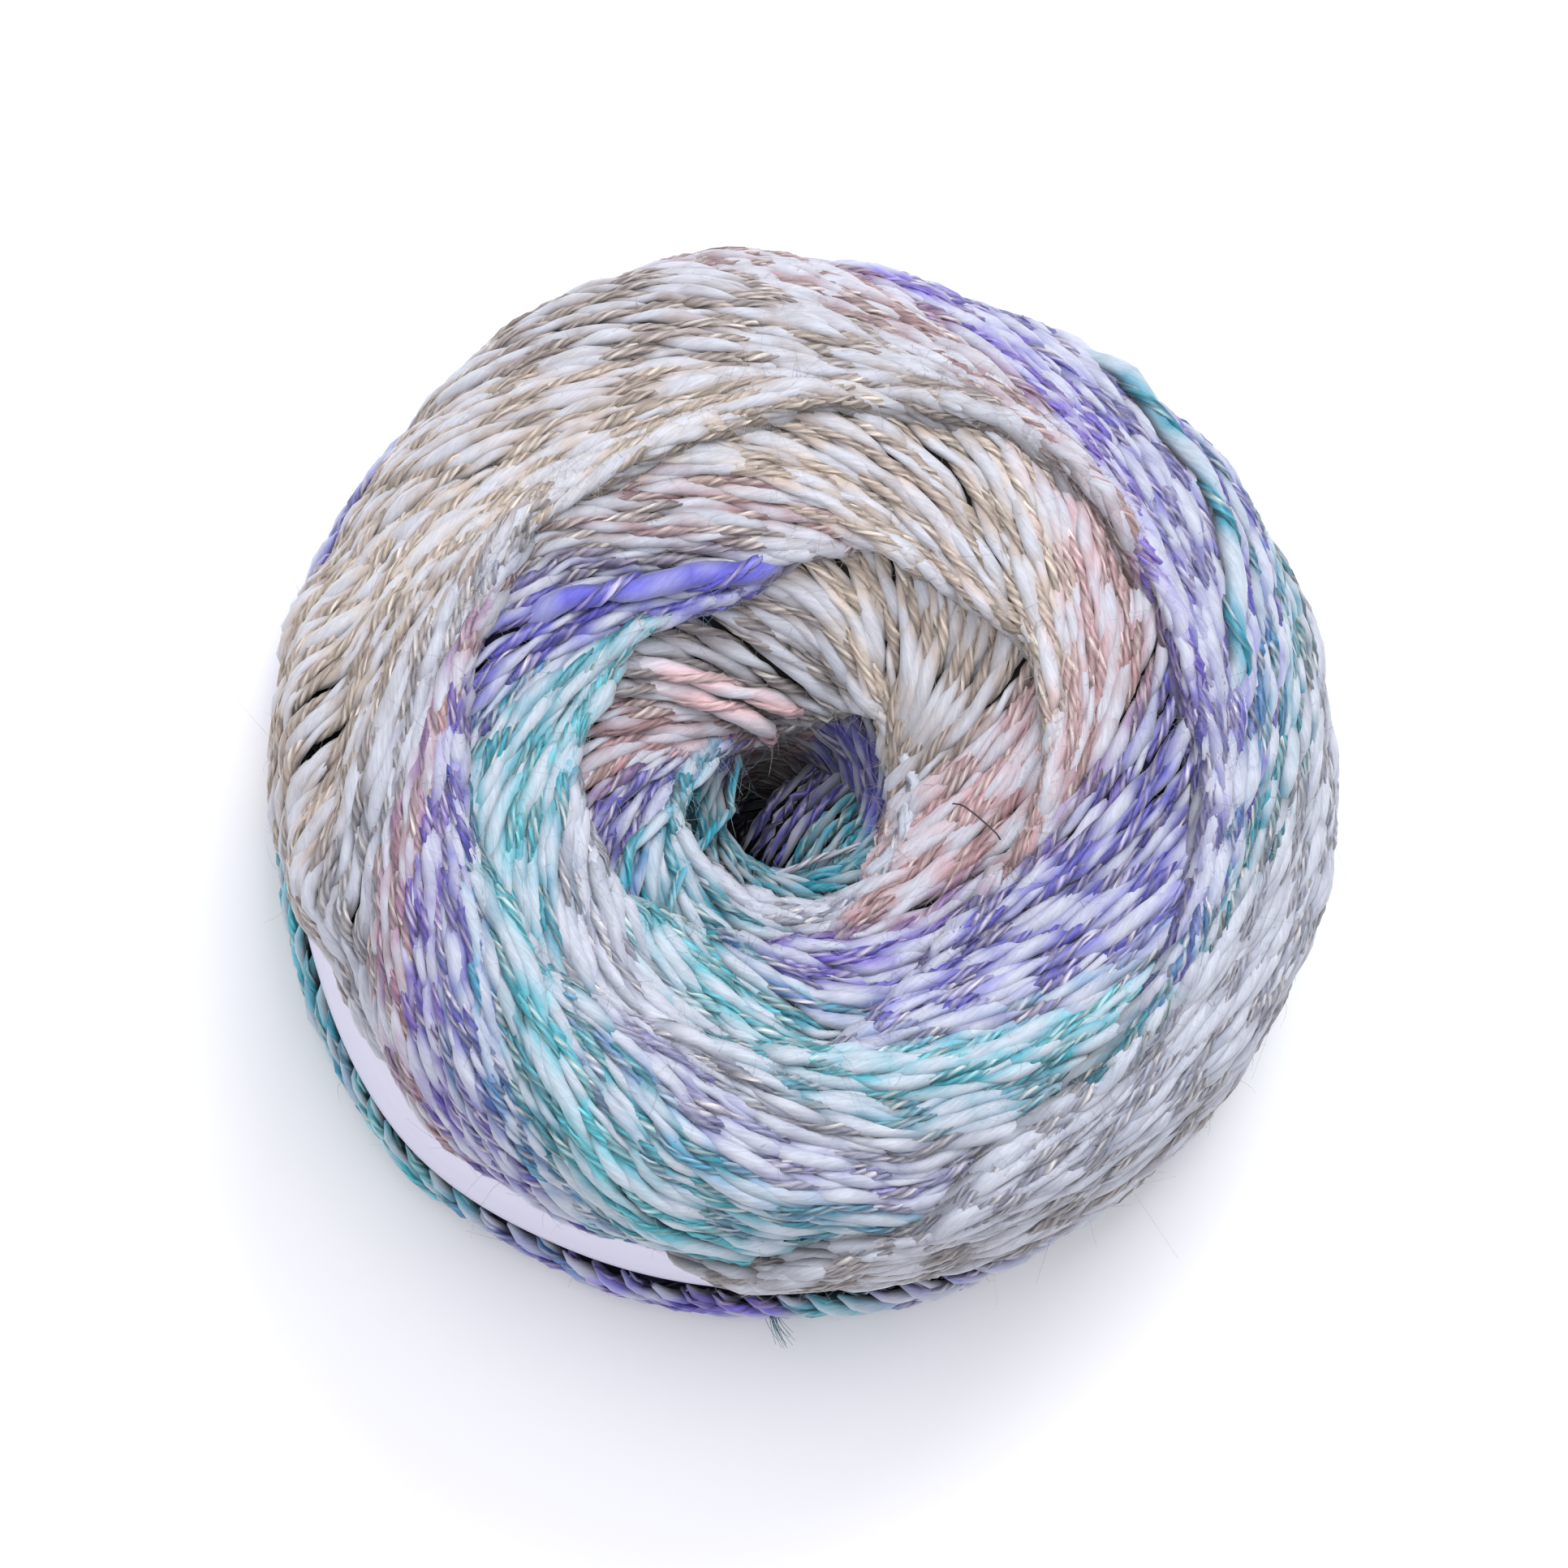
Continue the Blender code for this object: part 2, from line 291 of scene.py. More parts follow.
@dataclass
class Winding:
    """How the layers are wound: their creases, and the way that the yarn takes between them."""

    form: CakeForm
    first_turn: float = 262.0
    last_turn: float = 1390.0
    rim: float = 80.0  # along the section, where the outermost layer has left the top
    seen_creases: tuple[tuple[float, float], ...] = (
        # turn, distance from the mouth's middle as seen from the front
        (262.0, 59.4),
        (270.0, 57.1),
        (277.0, 55.7),
        (285.0, 55.4),
        (290.0, 53.8),
        (295.0, 51.6),
        (300.0, 50.5),
        (315.0, 49.8),
        (375.0, 49.8),
        (390.0, 50.2),
        (405.0, 51.3),
        (420.0, 51.7),
        (430.0, 49.9),
        (443.0, 48.5),
        (458.0, 46.6),
        (480.0, 45.2),
        (488.0, 46.9),
        (495.0, 47.4),
        (500.0, 45.6),
        (515.0, 44.5),
        (540.0, 42.0),
        (555.0, 40.6),
        (564.0, 39.2),
        (576.0, 38.9),
        (589.0, 37.0),
        (600.0, 34.9),
        (605.0, 34.0),
        (624.0, 33.2),
        (634.0, 33.5),
        (641.0, 32.1),
        (654.0, 29.6),
        (660.0, 28.2),
        (675.0, 26.8),
        (690.0, 26.8),
        (698.0, 27.4),
        (705.0, 29.0),
        (720.0, 31.2),
        (735.0, 32.9),
        (753.0, 34.3),
        (765.0, 32.9),
        (780.0, 32.2),
        (795.0, 32.8),
        (800.0, 31.2),
        (810.0, 30.0),
        (818.0, 27.6),
        (825.0, 26.5),
        (840.0, 26.5),
        (855.0, 29.0),
        (870.0, 28.2),
        (894.0, 29.4),
        (908.0, 28.0),
        (930.0, 27.1),
        (940.0, 24.7),
        (966.0, 21.9),
        (990.0, 20.3),
        (1001.0, 19.7),
        (1010.0, 18.4),
        (1023.0, 15.6),
        (1042.0, 13.0),
        (1080.0, 12.2),
        (1105.0, 12.4),
        (1125.0, 14.6),
        (1140.0, 12.2),
        (1155.0, 10.4),
        (1170.0, 9.4),
        (1200.0, 9.0),
        (1215.0, 10.2),
        (1230.0, 12.2),
        (1245.0, 14.4),
        (1260.0, 16.2),
        (1275.0, 16.8),
        (1290.0, 16.4),
        (1320.0, 15.6),
        (1350.0, 15.6),
        (1370.0, 15.6),
        (1390.0, 14.6),
    )
    ways: Rows = field(
        default_factory=lambda: Rows(
            (
                # turn, sweep, rise
                (262.0, 66.0, 2.0),
                (300.0, 78.0, 2.2),
                (330.0, 74.0, 2.1),
                (375.0, 70.0, 2.1),
                (420.0, 62.0, 1.9),
                (450.0, 76.0, 2.6),
                (480.0, 78.0, 2.3),
                (510.0, 76.0, 2.3),
                (545.0, 68.0, 2.2),
                (570.0, 62.0, 2.1),
                (600.0, 62.0, 1.9),
                (630.0, 60.0, 1.8),
                (660.0, 56.0, 1.9),
                (690.0, 52.0, 1.7),
                (720.0, 46.0, 1.4),
                (750.0, 42.0, 1.5),
                (780.0, 46.0, 1.6),
                (810.0, 48.0, 1.6),
                (835.0, 50.0, 1.8),
                (870.0, 47.0, 1.6),
                (900.0, 47.0, 1.6),
                (930.0, 48.0, 1.4),
                (960.0, 47.0, 1.6),
                (990.0, 56.0, 1.8),
                (1020.0, 70.0, 2.0),
                (1050.0, 52.0, 2.0),
                (1078.0, 34.0, 1.7),
                (1100.0, 36.0, 1.7),
                (1128.0, 52.0, 2.0),
                (1168.0, 60.0, 2.4),
                (1205.0, 52.0, 1.8),
                (1240.0, 60.0, 2.2),
                (1290.0, 82.0, 2.2),
                (1390.0, 82.0, 2.0),
            )
        )
    )

    def __post_init__(self) -> None:
        """Turns the seen creases to places along the section."""
        seen = np.array(self.seen_creases)
        along = self.form.along_at(seen[:, 0], seen[:, 1])
        self._creases = Rows(tuple(zip(seen[:, 0], along)))

    def crease(self, turn: np.ndarray) -> np.ndarray:
        """The layer's inner edge, or the rim where the turn lies outside the outermost layer."""
        turn = np.asarray(turn, dtype=float)
        found = self._creases.read(1, turn)
        return np.where(
            turn < self.first_turn,
            found + (self.rim - found) * smooth_step(self.first_turn - turn, 0.0, 14.0),
            found,
        )

    def way(self, turn: float, share: np.ndarray) -> tuple[np.ndarray, np.ndarray]:
        """The way of a strand from its crease to the next one out.

        Args:
            turn: where the strand starts.
            share: shares of the way out.

        Returns:
            The angles round the cake and the places along the section.
        """
        sweep = float(self.ways.read(1, turn))
        rise = float(self.ways.read(2, turn))
        inner = float(self.crease(turn))
        degrees = turn + sweep * share
        outer = self.crease(degrees - 360.0)
        return degrees, inner + (outer - inner) * share**rise

    def apart(self, turn: float, gap: float, share: np.ndarray) -> np.ndarray:
        """How far a strand lies from the next one at these shares of its way, in millimetres."""
        first = self.form.place(*self.way(turn, share), np.zeros(len(share)))
        fine = np.linspace(0.0, 1.0, 140)
        second = self.form.place(*self.way(turn + gap, fine), np.zeros(len(fine)))
        return np.linalg.norm(first[:, None, :] - second[None, :, :], axis=-1).min(axis=1)

    def spacing(self, turn: float, pitch: float) -> float:
        """Degrees from one strand to the next that give this pitch on the inner part of the way."""
        return 3.0 * pitch / float(self.apart(turn, 3.0, np.array([0.12, 0.3, 0.5])).mean())

    def fillers(
        self, turn: float, gap: float, pitch: float
    ) -> list[tuple[float, float, float]]:
        """The strands that come up between two others where these have fanned out.

        Args:
            turn: where the first of two strands starts.
            gap: degrees on to where the second one starts.
            pitch: how far apart strands lie.

        Returns:
            For each, its place as a share of the gap, the share of the way out at which it starts
            underneath, below nothing for one that starts at its crease, and the share at which it
            has come up.
        """
        shares = np.linspace(0.0, 1.0, 61)
        apart = self.apart(turn, gap, shares)
        found = []
        for starts, comes_up, places in (
            (0.72 * pitch, 1.22 * pitch, (0.5,)),
            (1.5 * pitch, 2.3 * pitch, (0.25, 0.75)),
            (3.0 * pitch, 4.4 * pitch, (0.125, 0.375, 0.625, 0.875)),
        ):
            up = shares[apart > comes_up]
            if len(up) and up[0] < 0.94:
                start = min(float(shares[apart > starts][0]), float(up[0]) - 0.14)
                found.extend((place, start, float(up[0])) for place in places)
        return found


@dataclass(frozen=True)
class Dye:
    """One shade of the dyed ply, and how thick the white ply beside it tends to be."""

    colour: str
    slub: float


@dataclass
class DyeChart:
    """The dyes in the order in which the winding meets them."""

    shades: dict[str, Dye] = field(
        default_factory=lambda: {
            "taupe": Dye("#A1979A", 0.64),
            "silver": Dye("#AAAFC4", 0.72),
            "lavender": Dye("#8F8FD0", 0.62),
            "teal": Dye("#159FBA", 0.6),
            "aqua": Dye("#53CBDC", 0.7),
            "deep_teal": Dye("#11677F", 0.35),
            "purple": Dye("#5450C0", 0.42),
            "violet": Dye("#7A5CD0", 0.48),
            "rose": Dye("#BC8C92", 0.58),
            "pink": Dye("#E2B9BE", 0.62),
            "beige": Dye("#BBA89E", 0.62),
            "gold": Dye("#DCC9B8", 0.62),
        }
    )
    order: tuple[tuple[float, str], ...] = (
        (262.0, "taupe"),
        (290.0, "silver"),
        (312.0, "silver"),
        (320.0, "deep_teal"),
        (330.0, "teal"),
        (340.0, "purple"),
        (358.0, "lavender"),
        (372.0, "purple"),
        (385.0, "violet"),
        (400.0, "rose"),
        (420.0, "taupe"),
        (436.0, "beige"),
        (465.0, "gold"),
        (488.0, "beige"),
        (502.0, "silver"),
        (515.0, "rose"),
        (528.0, "violet"),
        (541.0, "purple"),
        (552.0, "teal"),
        (566.0, "aqua"),
        (578.0, "teal"),
        (590.0, "lavender"),
        (606.0, "silver"),
        (618.0, "teal"),
        (636.0, "aqua"),
        (646.0, "lavender"),
        (654.0, "purple"),
        (688.0, "purple"),
        (698.0, "rose"),
        (725.0, "pink"),
        (740.0, "gold"),
        (770.0, "beige"),
        (788.0, "gold"),
        (800.0, "rose"),
        (814.0, "taupe"),
        (824.0, "purple"),
        (842.0, "purple"),
        (852.0, "teal"),
        (875.0, "aqua"),
        (896.0, "teal"),
        (908.0, "silver"),
        (930.0, "silver"),
        (942.0, "aqua"),
        (962.0, "teal"),
        (976.0, "purple"),
        (998.0, "violet"),
        (1010.0, "rose"),
        (1045.0, "pink"),
        (1065.0, "pink"),
        (1080.0, "beige"),
        (1120.0, "gold"),
        (1135.0, "taupe"),
        (1175.0, "taupe"),
        (1190.0, "rose"),
        (1204.0, "rose"),
        (1214.0, "purple"),
        (1228.0, "purple"),
        (1240.0, "teal"),
        (1284.0, "teal"),
        (1300.0, "silver"),
        (1390.0, "silver"),
    )

    def __post_init__(self) -> None:
        """Makes the chart's arrays."""
        self._turns = np.array([turn for turn, _ in self.order])
        self._colours = np.array([linear(self.shades[name].colour) for _, name in self.order])
        self._slubs = np.array([self.shades[name].slub for _, name in self.order])

    def colour(self, turn: np.ndarray) -> np.ndarray:
        """The dye's linear colour for strands that start at these turns."""
        return np.stack(
            [np.interp(turn, self._turns, self._colours[:, k]) for k in range(3)], axis=-1
        )

    def slub(self, turn: float) -> float:
        """How thick the white ply tends to be there, from 0 to 1."""
        return float(np.interp(turn, self._turns, self._slubs))


@dataclass
class Strand:
    """One strand's axis on the cake, with its dye and its own chance."""

    degrees: np.ndarray
    along: np.ndarray
    lift: np.ndarray
    dye: np.ndarray
    slub: float
    zone: Zone
    seed: int
    girth: float = 1.0
    shade: float | np.ndarray = 1.0
    stain: float = 0.0  # how much of the dye the white ply has taken up all over
    turn: float = 0.0  # where a strand of the layers starts


@dataclass(frozen=True)
class PlyDetail:
    """How finely the plies of a zone are meshed."""

    steps_a_turn: float  # for one turn of the plies
    slub_sides: int
    bundle_sides: int  # even, as every second one is a ridge


@dataclass
class PlyMesh:
    """The growing arrays of one mesh of tubes, and how it becomes an object."""

    points: list = field(default_factory=list)
    quads: list = field(default_factory=list)
    caps: list = field(default_factory=list)
    texture: list = field(default_factory=list)
    colours: list = field(default_factory=list)
    count: int = 0

    def triangles(self) -> int:
        """How many triangles the mesh holds."""
        return sum(2 * len(q) for q in self.quads) + sum(len(c) - 2 for c in self.caps)

    def add_tube(
        self, rings: np.ndarray, lengths: np.ndarray, colours: np.ndarray, turns: np.ndarray
    ) -> None:
        """Adds a closed tube.

        Args:
            rings: points, shaped rings by sides by 3, in millimetres.
            lengths: the length along the tube at each ring.
            colours: linear colours, shaped as the rings.
            turns: how far the fibres have turned round the tube at each ring, in turns.
        """
        count, sides, _ = rings.shape
        number = np.arange(count * sides).reshape(count, sides) + self.count
        after = np.roll(number, -1, axis=1)
        quads = np.stack((number[:-1], after[:-1], after[1:], number[1:]), axis=-1)
        self.quads.append(quads.reshape(-1, 4))
        self.caps.append(number[0, ::-1])
        self.caps.append(number[-1])
        around = np.arange(sides + 1) / sides
        u = np.broadcast_to(lengths[:, None], (count, sides + 1))
        v = around[None, :] + turns[:, None]
        corners = np.stack(
            (
                np.stack((u[:-1, :-1], v[:-1, :-1]), axis=-1),
                np.stack((u[:-1, 1:], v[:-1, 1:]), axis=-1),
                np.stack((u[1:, 1:], v[1:, 1:]), axis=-1),
                np.stack((u[1:, :-1], v[1:, :-1]), axis=-1),
            ),
            axis=2,
        )
        self.texture.append(corners.reshape(-1, 2))
        self.points.append(rings.reshape(-1, 3))
        self.colours.append(colours.reshape(-1, 3))
        self.count += count * sides

    def to_object(self, name: str) -> bpy.types.Object:
        """Makes the object, with its length-and-turn map and its dye attribute."""
        points = np.concatenate(self.points) * MM
        quads = np.concatenate(self.quads)
        cap_texture = [np.zeros((len(cap), 2)) for cap in self.caps]
        loops = np.concatenate([quads.reshape(-1)] + self.caps)
        texture = np.concatenate(self.texture + cap_texture)
        sizes = np.array([4] * len(quads) + [len(cap) for cap in self.caps])
        starts = np.concatenate(([0], np.cumsum(sizes)[:-1]))
        mesh = bpy.data.meshes.new(name)
        mesh.vertices.add(len(points))
        mesh.vertices.foreach_set("co", points.astype(np.float32).reshape(-1))
        mesh.loops.add(len(loops))
        mesh.loops.foreach_set("vertex_index", loops.astype(np.int32))
        mesh.polygons.add(len(sizes))
        mesh.polygons.foreach_set("loop_start", starts.astype(np.int32))
        mesh.polygons.foreach_set("use_smooth", np.ones(len(sizes), dtype=bool))
        mesh.update(calc_edges=True)
        layer = mesh.uv_layers.new(name="length_and_turn")
        layer.uv.foreach_set("vector", texture.astype(np.float32).reshape(-1))
        colours = np.concatenate(self.colours)
        opaque = np.concatenate((colours, np.ones((len(colours), 1))), axis=1)
        dye = mesh.color_attributes.new(name="dye", type="FLOAT_COLOR", domain="POINT")
        dye.data.foreach_set("color", opaque.astype(np.float32).reshape(-1))
        mesh.validate()
        piece = bpy.data.objects.new(name, mesh)
        bpy.context.scene.collection.objects.link(piece)
        return piece


@dataclass
class TwoPlyYarn:
    """The yarn: a white slub ply and a dyed filament ply, twisted round each other."""

    form: CakeForm
    thin: float = 0.5  # the white ply's radius where it is thin
    thick: float = 1.16  # and where it swells to a slub
    filament_bundle: float = 0.82  # half the dyed ply's width
    flatness: float = 0.6  # the dyed ply's depth over its width
    short_twist: float = 9.5  # length of one turn of the plies where the yarn is thin
    long_twist: float = 17.0  # and where it is thick
    own_twist: float = 23.0  # length of one turn of the dyed ply's filaments
    ridge: float = 0.14  # how far the filaments' ridges stand out, as a share of the girth
    slub_waves: tuple[float, ...] = (43.0, 21.0, 12.5)  # lengths over which the slubs swell
    slub_swing: float = 0.42  # how much they swell, as a share of the range from thin to thick
    darkest: float = 0.07  # the share of light deep between two strands
    deep: float = 1.0  # how far below a strand's axis that is
    open: float = 0.75  # how far above its axis it is in the full light
    white: np.ndarray = field(default_factory=lambda: linear("#BBBFCB"))
    undyed: np.ndarray = field(default_factory=lambda: linear("#A69E98"))
    # the colour of the painted highlights: pale glints on the dyed filaments
    bright: np.ndarray = field(default_factory=lambda: linear("#EFE8E2"))

    def spin(self, strand: Strand, detail: PlyDetail, slub: PlyMesh, dyed: PlyMesh) -> None:
        """Twists one strand's plies and adds them to the meshes.

        Args:
            strand: the axis and the dye.
            detail: how finely to mesh it.
            slub: the mesh of the white ply.
            dyed: the mesh of the dyed ply.
        """
        rng = np.random.default_rng(strand.seed)
        rough = self.form.place(strand.degrees, strand.along, strand.lift)
        walked = np.concatenate(
            ([0.0], np.cumsum(np.linalg.norm(np.diff(rough, axis=0), axis=1)))
        )
        fine = np.linspace(0.0, walked[-1], max(int(2.0 * walked[-1]), 12))
        swelling = Wander(rng, self.slub_waves).at(fine)
        swollen = smooth_step(strand.slub - 0.06 + self.slub_swing * swelling, 0.0, 1.0)
        twist = self.short_twist + (self.long_twist - self.short_twist) * swollen
        turns = np.cumsum((fine[1] - fine[0]) / twist)
        steps = np.linspace(turns[0], turns[-1], max(int(turns[-1] * detail.steps_a_turn), 6))
        length = np.interp(steps, turns, fine)
        fullness = np.interp(length, fine, swollen)
        path, normal, dye, shade = self._places(strand, walked, length)
        heading = np.gradient(path, axis=0)
        heading /= np.linalg.norm(heading, axis=1, keepdims=True)
        across = np.cross(heading, normal)
        across /= np.linalg.norm(across, axis=1, keepdims=True)
        normal = np.cross(across, heading)

        white_radius = (self.thin + (self.thick - self.thin) * fullness) * strand.girth
        dyed_radius = self.filament_bundle * (1.1 - 0.38 * fullness) * strand.girth
        angle = math.tau * (rng.uniform() - steps)
        out = np.cos(angle)[:, None] * normal + np.sin(angle)[:, None] * across
        side = -np.sin(angle)[:, None] * normal + np.cos(angle)[:, None] * across
        apart = 0.84 * (white_radius + self.flatness * dyed_radius)
        white_off = 0.8 * apart * dyed_radius / (white_radius + dyed_radius)
        dyed_off = apart - white_off
        closing = self._closing(len(path))

        self._add_white(
            slub, detail, path - out * white_off[:, None], out, side, white_radius * closing,
            length, dye, fullness, shade, strand.stain, path, normal, rng,
        )
        self._add_dyed(
            dyed, detail, path + out * dyed_off[:, None], out, side, dyed_radius * closing,
            length, dye, shade, path, normal, rng,
        )

    def _places(
        self, strand: Strand, walked: np.ndarray, at: np.ndarray
    ) -> tuple[np.ndarray, np.ndarray, np.ndarray, np.ndarray]:
        """The strand's axis, surface normals, dyes and shades at these lengths along it."""
        degrees = np.interp(at, walked, strand.degrees)
        along = np.interp(at, walked, strand.along)
        lift = np.interp(at, walked, strand.lift)
        dye = np.stack([np.interp(at, walked, strand.dye[:, k]) for k in range(3)], axis=-1)
        shade = np.interp(at, walked, np.broadcast_to(strand.shade, walked.shape))
        outwards, upwards = self.form.normal(along)
        angle = np.radians(degrees)
        normal = np.stack((outwards * np.cos(angle), outwards * np.sin(angle), upwards), axis=-1)
        return self.form.place(degrees, along, lift), normal, dye, shade

    @staticmethod
    def _closing(count: int) -> np.ndarray:
        """Shares of the full girth that close a strand's two ends."""
        closing = np.ones(count)
        closing[0] = closing[-1] = 0.35
        closing[1] = closing[-2] = 0.8
        return closing

    def _add_white(
        self, mesh: PlyMesh, detail: PlyDetail, centres: np.ndarray, out: np.ndarray,
        side: np.ndarray, radius: np.ndarray, length: np.ndarray, dye: np.ndarray,
        fullness: np.ndarray, shade: np.ndarray, stain: float, path: np.ndarray,
        normal: np.ndarray, rng: np.random.Generator,
    ) -> None:
        """Adds the soft white ply, into which the dye has bled here and there."""
        sides = detail.slub_sides
        round_it = math.tau * np.arange(sides) / sides
        lumps = 1.0 + 0.05 * rng.standard_normal((len(centres), sides))
        rings = centres[:, None, :] + radius[:, None, None] * lumps[:, :, None] * (
            np.cos(round_it)[None, :, None] * out[:, None, :]
            + np.sin(round_it)[None, :, None] * side[:, None, :]
        )
        facing = (0.5 + 0.5 * np.cos(round_it)) ** 2
        bled = np.clip(0.35 + 0.5 * Wander(rng, (13.0, 7.0)).at(length), 0.0, 1.0) ** 1.5
        tint = 0.1 + 0.75 * facing[None, :] + (0.35 + 0.5 * (1.0 - fullness[:, None])) * bled[:, None]
        tint = tint + stain
        tint = np.clip(tint, 0.0, 0.9)[:, :, None]
        streak = 1.0 + 0.05 * rng.standard_normal((len(centres), sides))
        colours = self.white * (1.0 - tint) + dye[:, None, :] * tint
        colours = np.clip(colours * streak[:, :, None] * shade[:, None, None], 0.0, 1.0)
        colours = colours * self._flank_shade(rings, path, normal)
        mesh.add_tube(rings, length, colours, np.zeros(len(length)))

    def _flank_shade(
        self, rings: np.ndarray, centres: np.ndarray, normal: np.ndarray
    ) -> np.ndarray:
        """How much light the fibres get that lie low between two strands, from dark to 1."""
        above = ((rings - centres[:, None, :]) * normal[:, None, :]).sum(axis=-1)
        light = smooth_step(above, -self.deep, self.open)
        return (self.darkest + (1.0 - self.darkest) * light)[:, :, None]

    def _add_dyed(
        self, mesh: PlyMesh, detail: PlyDetail, centres: np.ndarray, out: np.ndarray,
        side: np.ndarray, radius: np.ndarray, length: np.ndarray, dye: np.ndarray,
        shade: np.ndarray, path: np.ndarray, normal: np.ndarray, rng: np.random.Generator,
    ) -> None:
        """Adds the shiny dyed ply as a flat bundle of filaments, each ridge with its own tone, with
        painted shade in the grooves between ridges and pale painted highlights (glints) along them.
        """
        sides = detail.bundle_sides
        start = rng.uniform(0.0, math.tau)
        turned = start - math.tau * length / self.own_twist
        round_it = math.tau * np.arange(sides)[None, :] / sides + turned[:, None]
        ridges = 1.0 + self.ridge * np.where(np.arange(sides) % 2 == 0, 1.0, -1.0)
        wide = radius[:, None] * ridges[None, :]
        rings = (
            centres[:, None, :]
            + (self.flatness * wide * np.cos(round_it))[:, :, None] * out[:, None, :]
            + (wide * np.sin(round_it))[:, :, None] * side[:, None, :]
        )
        tones = np.empty((len(length), sides, 3))
        for k in range(sides):
            own = dye * rng.uniform(0.72, 1.08)
            # every second side is a groove between filaments, darkened with painted shade
            if k % 2:
                own = dye * rng.uniform(0.4, 0.62)
            elif rng.uniform() < 0.3:
                own = own + (self.undyed - own) * 0.45
            # painted highlights: pale patches along each filament, strongest on the ridges
            glint = np.clip(0.15 + 0.6 * Wander(rng, (19.0, 8.3)).at(length), 0.0, 1.0) ** 1.5
            pale = (0.12 if k % 2 else 0.62) * glint[:, None]
            tones[:, k, :] = own + (self.bright - own) * pale
        colours = tones * shade[:, None, None] * self._flank_shade(rings, path, normal)
        mesh.add_tube(rings, length, np.clip(colours, 0.0, 1.0), length / self.own_twist)


@dataclass
class Layers:
    """Lays the strands of the top, foot, underside and hole."""

    form: CakeForm
    winding: Winding
    chart: DyeChart
    pitch: float = 2.0
    root_sweep: float = 11.0  # degrees over which a strand climbs to its crease
    root_depth: float = 4.4  # how far below its crease it starts
    dip: float = 2.2  # how far its other end goes down under the next layer
    below: float = 2.4  # how far down a strand lies before it comes up between two others
    main_twist: float = 22.5  # degrees of winding from one raised bundle to the next
    bundle_height: float = 0.5
    steep_lift: float = 0.3  # the share of the lift that is left on the mouth's steep wall
    dye_depth: float = 0.68  # the top's dyes are this much darker than the chart's, on average
    dye_spread: float = 0.08
    foot_pitch: float = 1.75  # between strands of the foot and underside
    hole_strands: int = 24
    hole_top: float = 13.0  # along the section
    hole_end: float = -61.0
    hole_twist: float = 6.5  # degrees round for each millimetre down the hole
    wall_strands: int = 8  # that cross the hole's near wall
    seen_tilt: float = math.radians(7.0)  # between the hole and the line of sight
    seen_height: float = 60.0  # at which what is seen and what is there agree
    tucked: float = 4.6  # how far the ends of a loose strand go down

    def top(self) -> list[Strand]:
        """The strands of the top's spiral of layers, from the outermost inwards."""
        rng = np.random.default_rng(11)
        strands = []
        turn = self.winding.first_turn
        number = 0
        while turn < self.winding.last_turn:
            gap = self.winding.spacing(turn, self.pitch)
            own_turn = turn + rng.normal(0.0, 0.08) * gap
            strands.append(self._layer_strand(own_turn, None, number, rng))
            fillers = self.winding.fillers(turn, gap, self.pitch)
            for order, (place, start, up) in enumerate(fillers, start=1):
                own_turn = turn + (place + rng.normal(0.0, 0.03)) * gap
                own_number = number + 5000 * order
                strands.append(self._layer_strand(own_turn, (start, up), own_number, rng))
            turn += gap
            number += 1
        return strands

    def _layer_strand(
        self, turn: float, rises: tuple[float, float] | None, number: int,
        rng: np.random.Generator,
    ) -> Strand:
        """One strand of a layer, to past the next crease.

        Args:
            turn: where the strand starts.
            rises: None for one that climbs from its crease, or the shares of the way out between
                which it comes up from underneath.
            number: the strand's number.
            rng: the source of chance.

        Returns:
            The strand.
        """
        winding = self.winding
        form = self.form
        end = 1.0 if turn < winding.first_turn + 290.0 else 1.07
        share = np.linspace(max(rises[0], 0.0) if rises else 0.0, end, 60)
        degrees, along = winding.way(turn, share)
        lift = form.layer_step * (1.0 - form.layer_sink - share)
        lift = lift - self.dip * smooth_step(share, 0.97, 1.1)
        lift = lift + self.bundle_height * math.cos(math.tau * turn / self.main_twist)
        lift = lift + rng.normal(0.0, 0.16)
        shade = np.ones(len(share))
        if rises:
            under = 1.0 - smooth_step(share, *rises)
            lift = lift - self.below * under
            shade = shade - 0.45 * under
        if not rises or rises[0] <= 0.0:
            back = np.linspace(1.0, 0.0, 10)[:-1]
            root_degrees = turn - self.root_sweep * back
            root_along = winding.crease(root_degrees) - 0.4 - 1.2 * back
            root_lift = lift[0] - self.root_depth * back**1.4
            degrees = np.concatenate((root_degrees, degrees))
            along = np.concatenate((root_along, along))
            lift = np.concatenate((root_lift, lift))
            shade = np.concatenate((shade[0] * (1.0 - 0.55 * back), shade))
        lift = lift * (self.steep_lift + (1.0 - self.steep_lift) * smooth_step(along, 8.0, 22.0))
        along = along + 0.2 * Wander(rng, (47.0, 29.0)).at(degrees)
        dye_turn = turn + rng.normal(0.0, 4.0) + 2.0 * Wander(rng, (60.0, 37.0)).at(degrees)
        depth = rng.normal(self.dye_depth, self.dye_spread)
        dye = np.clip(self.chart.colour(dye_turn) * depth, 0.0, 1.0)
        slub = self.chart.slub(turn) + rng.normal(0.0, 0.16)
        seed = 100 + number
        return Strand(degrees, along, lift, dye, slub, Zone.TOP, seed, shade=shade, turn=turn)

